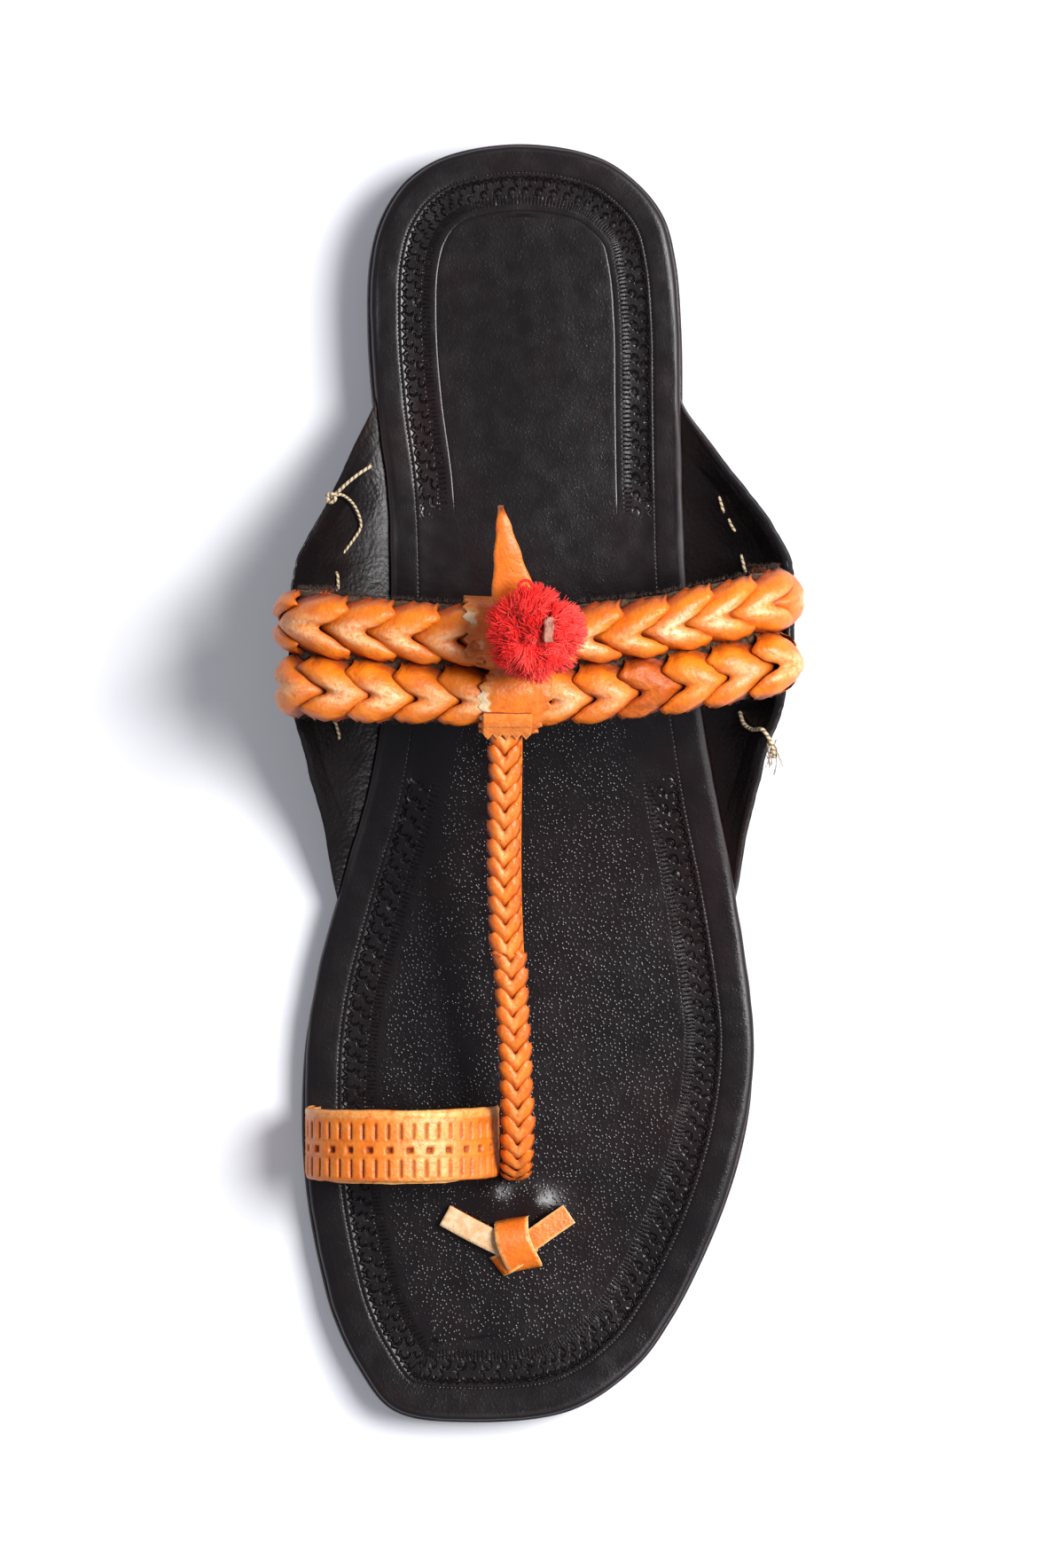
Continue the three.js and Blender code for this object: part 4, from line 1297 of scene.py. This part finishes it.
def toe_strap():
    parts = []
    for k in range(int((TOE_STRAP_LENGTH - 6) / PLAIT_PITCH)):
        s0 = TOE_STRAP_LENGTH - 3.0 - PLAIT_PITCH * k + 0.25 * ripple(101, k * 3.3, size=2)
        half = 3.3 + 0.08 * ripple(102, k * 2.1, size=2)
        parts.append(link(
            over_toe_strap, s0, -1, half, PLAIT_PITCH, 1.05, 1.7, 0.3, lambda s: 1.0, 0.9, 110 + k,
            notch=1.1, columns=18, rows=9,
        ))
    parts.append(strip(toe_strap_at, lambda t: 5.6, 2.2, 80, 4, lambda t, side: -1.0))
    return piece("toe_strap_plait", gathered(parts), STRAP_LEATHER, "tan_leather")


loop_at = through(LOOP_RUN)
LOOP_LENGTH, loop_t = measured(loop_at)


def punched(s, a):
    """How deep the toe loop is cut at s along it and a across it, towards the heel."""
    depth = 0.0
    for row, reach in ((2.9, 1.8), (-4.6, 2.0)):
        if abs(a - row) < reach:
            off = (s / 2.5) % 1 - 0.5
            ends = smooth((reach - abs(a - row)) / 0.35)
            depth += 0.75 * math.exp(-((off * 2.5 / 0.25) ** 2)) * ends
    off = ((s / 4.0) % 1 - 0.5) * 4.0
    depth += 0.95 * smooth((0.85 - abs(off)) / 0.4) * smooth((0.8 - abs(a + 0.9)) / 0.4)
    for row in (5.5, -6.6, 0.9, -2.5):
        depth += 0.14 * math.exp(-(((a - row) / 0.2) ** 2))
    return depth


def toe_loop():
    columns, rows = 300, 48

    def place_on(s, a, h):
        spot, way = loop_at(loop_t(s))
        up = way.cross(Vector((0, 1, 0)))
        return spot + Vector((0, 1, 0)) * a + up * h

    def place(i, j):
        s = LOOP_LENGTH * i / columns
        a = mix(-LOOP_WIDTH / 2, LOOP_WIDTH / 2, j / rows)
        edge = smooth((abs(a) - LOOP_WIDTH / 2 + 0.8) / 0.8)
        ragged = 0.12 * ripple(121, s, a > 0, size=2) * edge
        bow = 0.25 * ripple(122, s, size=14)
        h = LOOP_THICK / 2 - 0.45 * edge * edge - punched(s, a) + 0.05 * ripple(123, s, a, size=1.5)
        return place_on(s, a + ragged + bow * edge, h)

    def tint(i, j):
        s = LOOP_LENGTH * i / columns
        a = mix(-LOOP_WIDTH / 2, LOOP_WIDTH / 2, j / rows)
        edge = smooth((abs(a) - LOOP_WIDTH / 2 + 0.35) / 0.3)
        # A painted highlight in a patch a little past the middle, and paler along the heel-side edge.
        wear_and_highlight = 0.6 * math.exp(-(((s - LOOP_LENGTH * 0.58) / 6) ** 2)) + 0.5 * smooth((a - 5.2) / 0.5)
        # Painted shade in the punched cuts and along both edges.
        return clamp01(punched(s, a) * 1.15 + 0.35 * edge), wear_and_highlight

    bm = bent_sheet(columns, rows, place, lambda i, j: (LOOP_LENGTH * i / columns, j * 0.3), tint)
    parts = [walled(bm, 1.5)]

    def lining(i, j):
        s = mix(1.5, LOOP_LENGTH - 1.5, i / 120)
        peek = 0.75 * smooth((s - 16) / 6) * smooth((LOOP_LENGTH - 20 - s) / 8)
        peek += 0.15 * ripple(124, s, size=2)
        a = mix(-LOOP_WIDTH / 2 + 0.25 - peek, LOOP_WIDTH / 2 - 0.3, j / 6)
        return place_on(s, a, -LOOP_THICK / 2 + 0.85)

    inner = bent_sheet(120, 6, lining, None, lambda i, j: (0.0, 0.9))
    parts.append(walled(inner, 0.75))
    return piece("toe_loop_stamped", gathered(parts), LOOP_LEATHER, "tan_leather")


def toe_knot():
    """A flat thong tied once: a band over the top, a fold under it, and two tails."""
    base = insole_top(-96) - 0.3
    plan = (
        (7.0, 1.2, 0.1, (
            (-3.4, -90.2, 0.4), (-4.0, -90.9, 3.2), (-3.9, -93.6, 4.6), (-2.6, -96.9, 4.0),
            (-1.2, -99.4, 2.2), (-1.4, -99.8, 0.5),
        )),
        (4.8, 1.1, 0.05, (
            (-0.2, -94.5, 1.9), (-3.0, -97.2, 2.9), (-5.6, -98.9, 2.4), (-6.6, -99.4, 1.0),
            (-5.4, -98.6, 0.3),
        )),
        (4.4, 1.2, 0.15, (
            (-2.6, -95.8, 2.2), (0.8, -93.6, 2.7), (4.2, -91.2, 2.6), (7.9, -88.7, 2.4),
        )),
    )
    left_tail = ((-2.4, -96.8, 1.8), (-7.0, -94.6, 2.5), (-12.4, -91.9, 2.0), (-17.7, -89.0, 1.5))

    def laid(steps):
        """A run over the insole, and the way that lies flat across it."""
        points = [Vector((x, y, base + up)) for x, y, up in steps]
        return through(points), Vector((0, 0, 1)).cross(points[-1] - points[0]).normalized()

    parts = []
    for wide, thick, worn, steps in plan:
        run, flat = laid(steps)

        # Painted shade at the start of each piece, where it comes out of the knot; bare, paler cut edges
        # and ends.
        def tint(i, j, worn=worn):
            return 0.5 * smooth((0.1 - i / 40) / 0.1), 1.8 if j in (0, 8) or i == 40 else worn

        parts.append(strip(run, lambda t, wide=wide: wide, thick, 40, 8, None, flat, tint))
    piece("toe_knot_thong", gathered(parts), WRAP_LEATHER, "tan_leather", "toe_knot")
    run, flat = laid(left_tail)
    flesh = strip(run, lambda t: 4.6, 0.5, 30, 6, lambda t, side: 0.5, flat)
    piece("toe_knot_flesh_side", flesh, FLESH, "tan_leather")
    skin = strip(run, lambda t: 4.7, 0.9, 30, 6, lambda t, side: -0.3, flat)
    piece("toe_knot_tail", skin, WRAP_LEATHER, "tan_leather")


# ------------------------------------------------------------------ stitches


def stitch_on(side, start, end):
    """One stitch on an ear's upper face, ending in its two holes."""
    points = []
    for t, up in ((0, -0.7), (0.12, 0.18), (0.5, 0.3), (0.88, 0.18), (1, -0.7)):
        points.append(on_ear(side, mix(start[0], end[0], t), mix(start[1], end[1], t), up))
    return cord_along(through(points), 0.65)


def under_stitch(side, y_from, y_to, off):
    """The same on an ear's outer, lower face."""
    points = []
    for t, up in ((0, 0.6), (0.1, -0.3), (0.5, -0.45), (0.9, -0.3), (1, 0.6)):
        y = mix(y_from, y_to, t)
        share = ear_across(side, y, off + 0.3 * ripple(131, y, size=4))
        points.append(ear_middle(side, y, share) - ear_normal(side, y, share) * (EAR_THICK / 2 - up))
    return cord_along(through(points), 0.8)


FRAYED_ENDS = 26


def stitching():
    parts = []
    for side in ("inner", "outer"):
        for k in range(5):
            start = 2.0 + 11.6 * k
            parts.append(under_stitch(side, start, start + 7.6, 6.9))
    for side, start, end in (
        ("inner", (-40.9, 43.4), (-40.7, 39.5)),
        ("inner", (-41.5, 13.2), (-40.2, 9.0)),
        ("outer", (39.0, 59.3), (40.1, 55.5)),
        ("outer", (40.8, 54.6), (42.3, 51.6)),
        ("outer", (43.4, 47.2), (44.3, 43.4)),
    ):
        parts.append(stitch_on(side, start, end))

    # The inner side's knot at the ear's edge, its free end and the long slack stitch from it.
    knot = on_ear("inner", -43.0, 58.2, 0.6)
    lump = (
        (-0.9, -0.7, -0.4), (0.2, -0.9, 0.5), (0.9, 0.1, 0.7), (0, 0.9, 0.5), (-0.9, 0.3, 0),
        (-0.2, -0.8, -0.3),
    )
    parts.append(cord_along(through([knot + Vector(step) for step in lump]), 0.8))
    tail = ((0, 0, 0), (2.0, 1.8, 1.2), (5.0, 4.4, 1.4), (8.2, 6.6, 0.8))
    parts.append(cord_along(through([knot + Vector(step) for step in tail]), 0.7, wobble=0.1))
    slack = (
        (-41.4, 59.0, 1.2), (-38.8, 57.4, 1.5), (-36.9, 54.6, 1.3), (-36.4, 52.6, 0.9),
        (-38.2, 49.4, 0.6), (-39.8, 46.4, -0.5),
    )
    slack = [knot] + [on_ear("inner", x, y, up) for x, y, up in slack]
    parts.append(cord_along(through(slack), 0.6))

    # The outer side's loose end at the front of the band, frayed at its tip.
    edge = on_ear("outer", 48.3, 11.0, 0.7)
    start = ((43.4, 14.8, 0.0), (44.8, 12.4, 0.9), (46.4, 11.2, 0.9))
    loose = [on_ear("outer", x, y, up) for x, y, up in start]
    loose += [edge, edge + Vector((1.6, -2.4, -0.6)), edge + Vector((2.6, -5.6, -1.6))]
    parts.append(cord_along(through(loose), 0.85))
    for _ in range(FRAYED_ENDS):
        root = edge + Vector((random.uniform(0.8, 3.0), random.uniform(-5.2, -1.4), -1.0))
        tip = root + Vector([random.uniform(*ends) for ends in ((-0.6, 1.6), (-5.0, -1.5), (-1.6, 0.4))])
        middle = (root + tip) / 2 + Vector((random.uniform(-0.6, 0.6), 0, 0.3))
        parts.append(cord_along(through([root, middle, tip]), 0.16, sides=3, per_mm=1.2))
    return piece("ear_stitching", gathered(parts), THREAD, "tan_leather")


# ------------------------------------------------------------------ floor, light and camera


def studio():
    """A white floor with a faint glow, so that shadows stay light, a broad light from the upper right
    and a cool fill from all round."""
    bm = bmesh.new()
    bmesh.ops.create_grid(bm, x_segments=1, y_segments=1, size=3)
    bmesh.ops.translate(bm, verts=bm.verts, vec=(0, 0, -0.1 * MM))
    mesh = bpy.data.meshes.new("floor")
    bm.to_mesh(mesh)
    bm.free()
    floor = bpy.data.objects.new("floor", mesh)
    bpy.context.scene.collection.objects.link(floor)
    mat = blank("white_paper")
    glow = dict(Emission_Color=linear("#eef0f8"), Emission_Strength=0.17)
    mesh.materials.append(surface(mat, linear("#d6d6da"), 0.8, **glow))

    world = bpy.data.worlds.new("studio")
    bpy.context.scene.world = world
    world.use_nodes = True
    sky = world.node_tree.nodes["Background"]
    sky.inputs[0].default_value = linear("#e6e8f4")
    sky.inputs[1].default_value = 0.34

    light = bpy.data.lights.new("key", "AREA")
    light.size = 0.55
    light.energy = 27.0
    lamp = bpy.data.objects.new("key", light)
    lamp.location = (0.66, 0.18, 1.08)
    lamp.rotation_euler = lamp.location.to_track_quat("Z", "Y").to_euler()
    bpy.context.scene.collection.objects.link(lamp)


def camera():
    """Straight above and a little to the inner side, with the toe at the bottom."""
    data = bpy.data.cameras.new("camera")
    data.sensor_fit = "VERTICAL"
    half_view, floor_away = 0.161, 1.285
    data.angle = 2 * math.atan(half_view / floor_away)
    eye = bpy.data.objects.new("camera", data)
    place = Vector((-0.058, -0.002, 1.300))
    back = (place - Vector((0, 0, 0.015))).normalized()
    right = Vector((0, 1, 0)).cross(back).normalized()
    up = back.cross(right)
    turn = Matrix((right, up, back)).transposed().to_4x4()
    eye.matrix_world = Matrix.Translation(place) @ turn
    bpy.context.scene.collection.objects.link(eye)
    bpy.context.scene.camera = eye


camera()
studio()
bpy.context.scene.view_settings.view_transform = "Standard"
insole()
outsole()
heel()
ear("inner")
ear("outer")
braids()
backing()
centre_wrap()
tail_tab()
pompom()
pompom_pin()
red_thread()
toe_strap()
toe_loop()
toe_knot()
stitching()
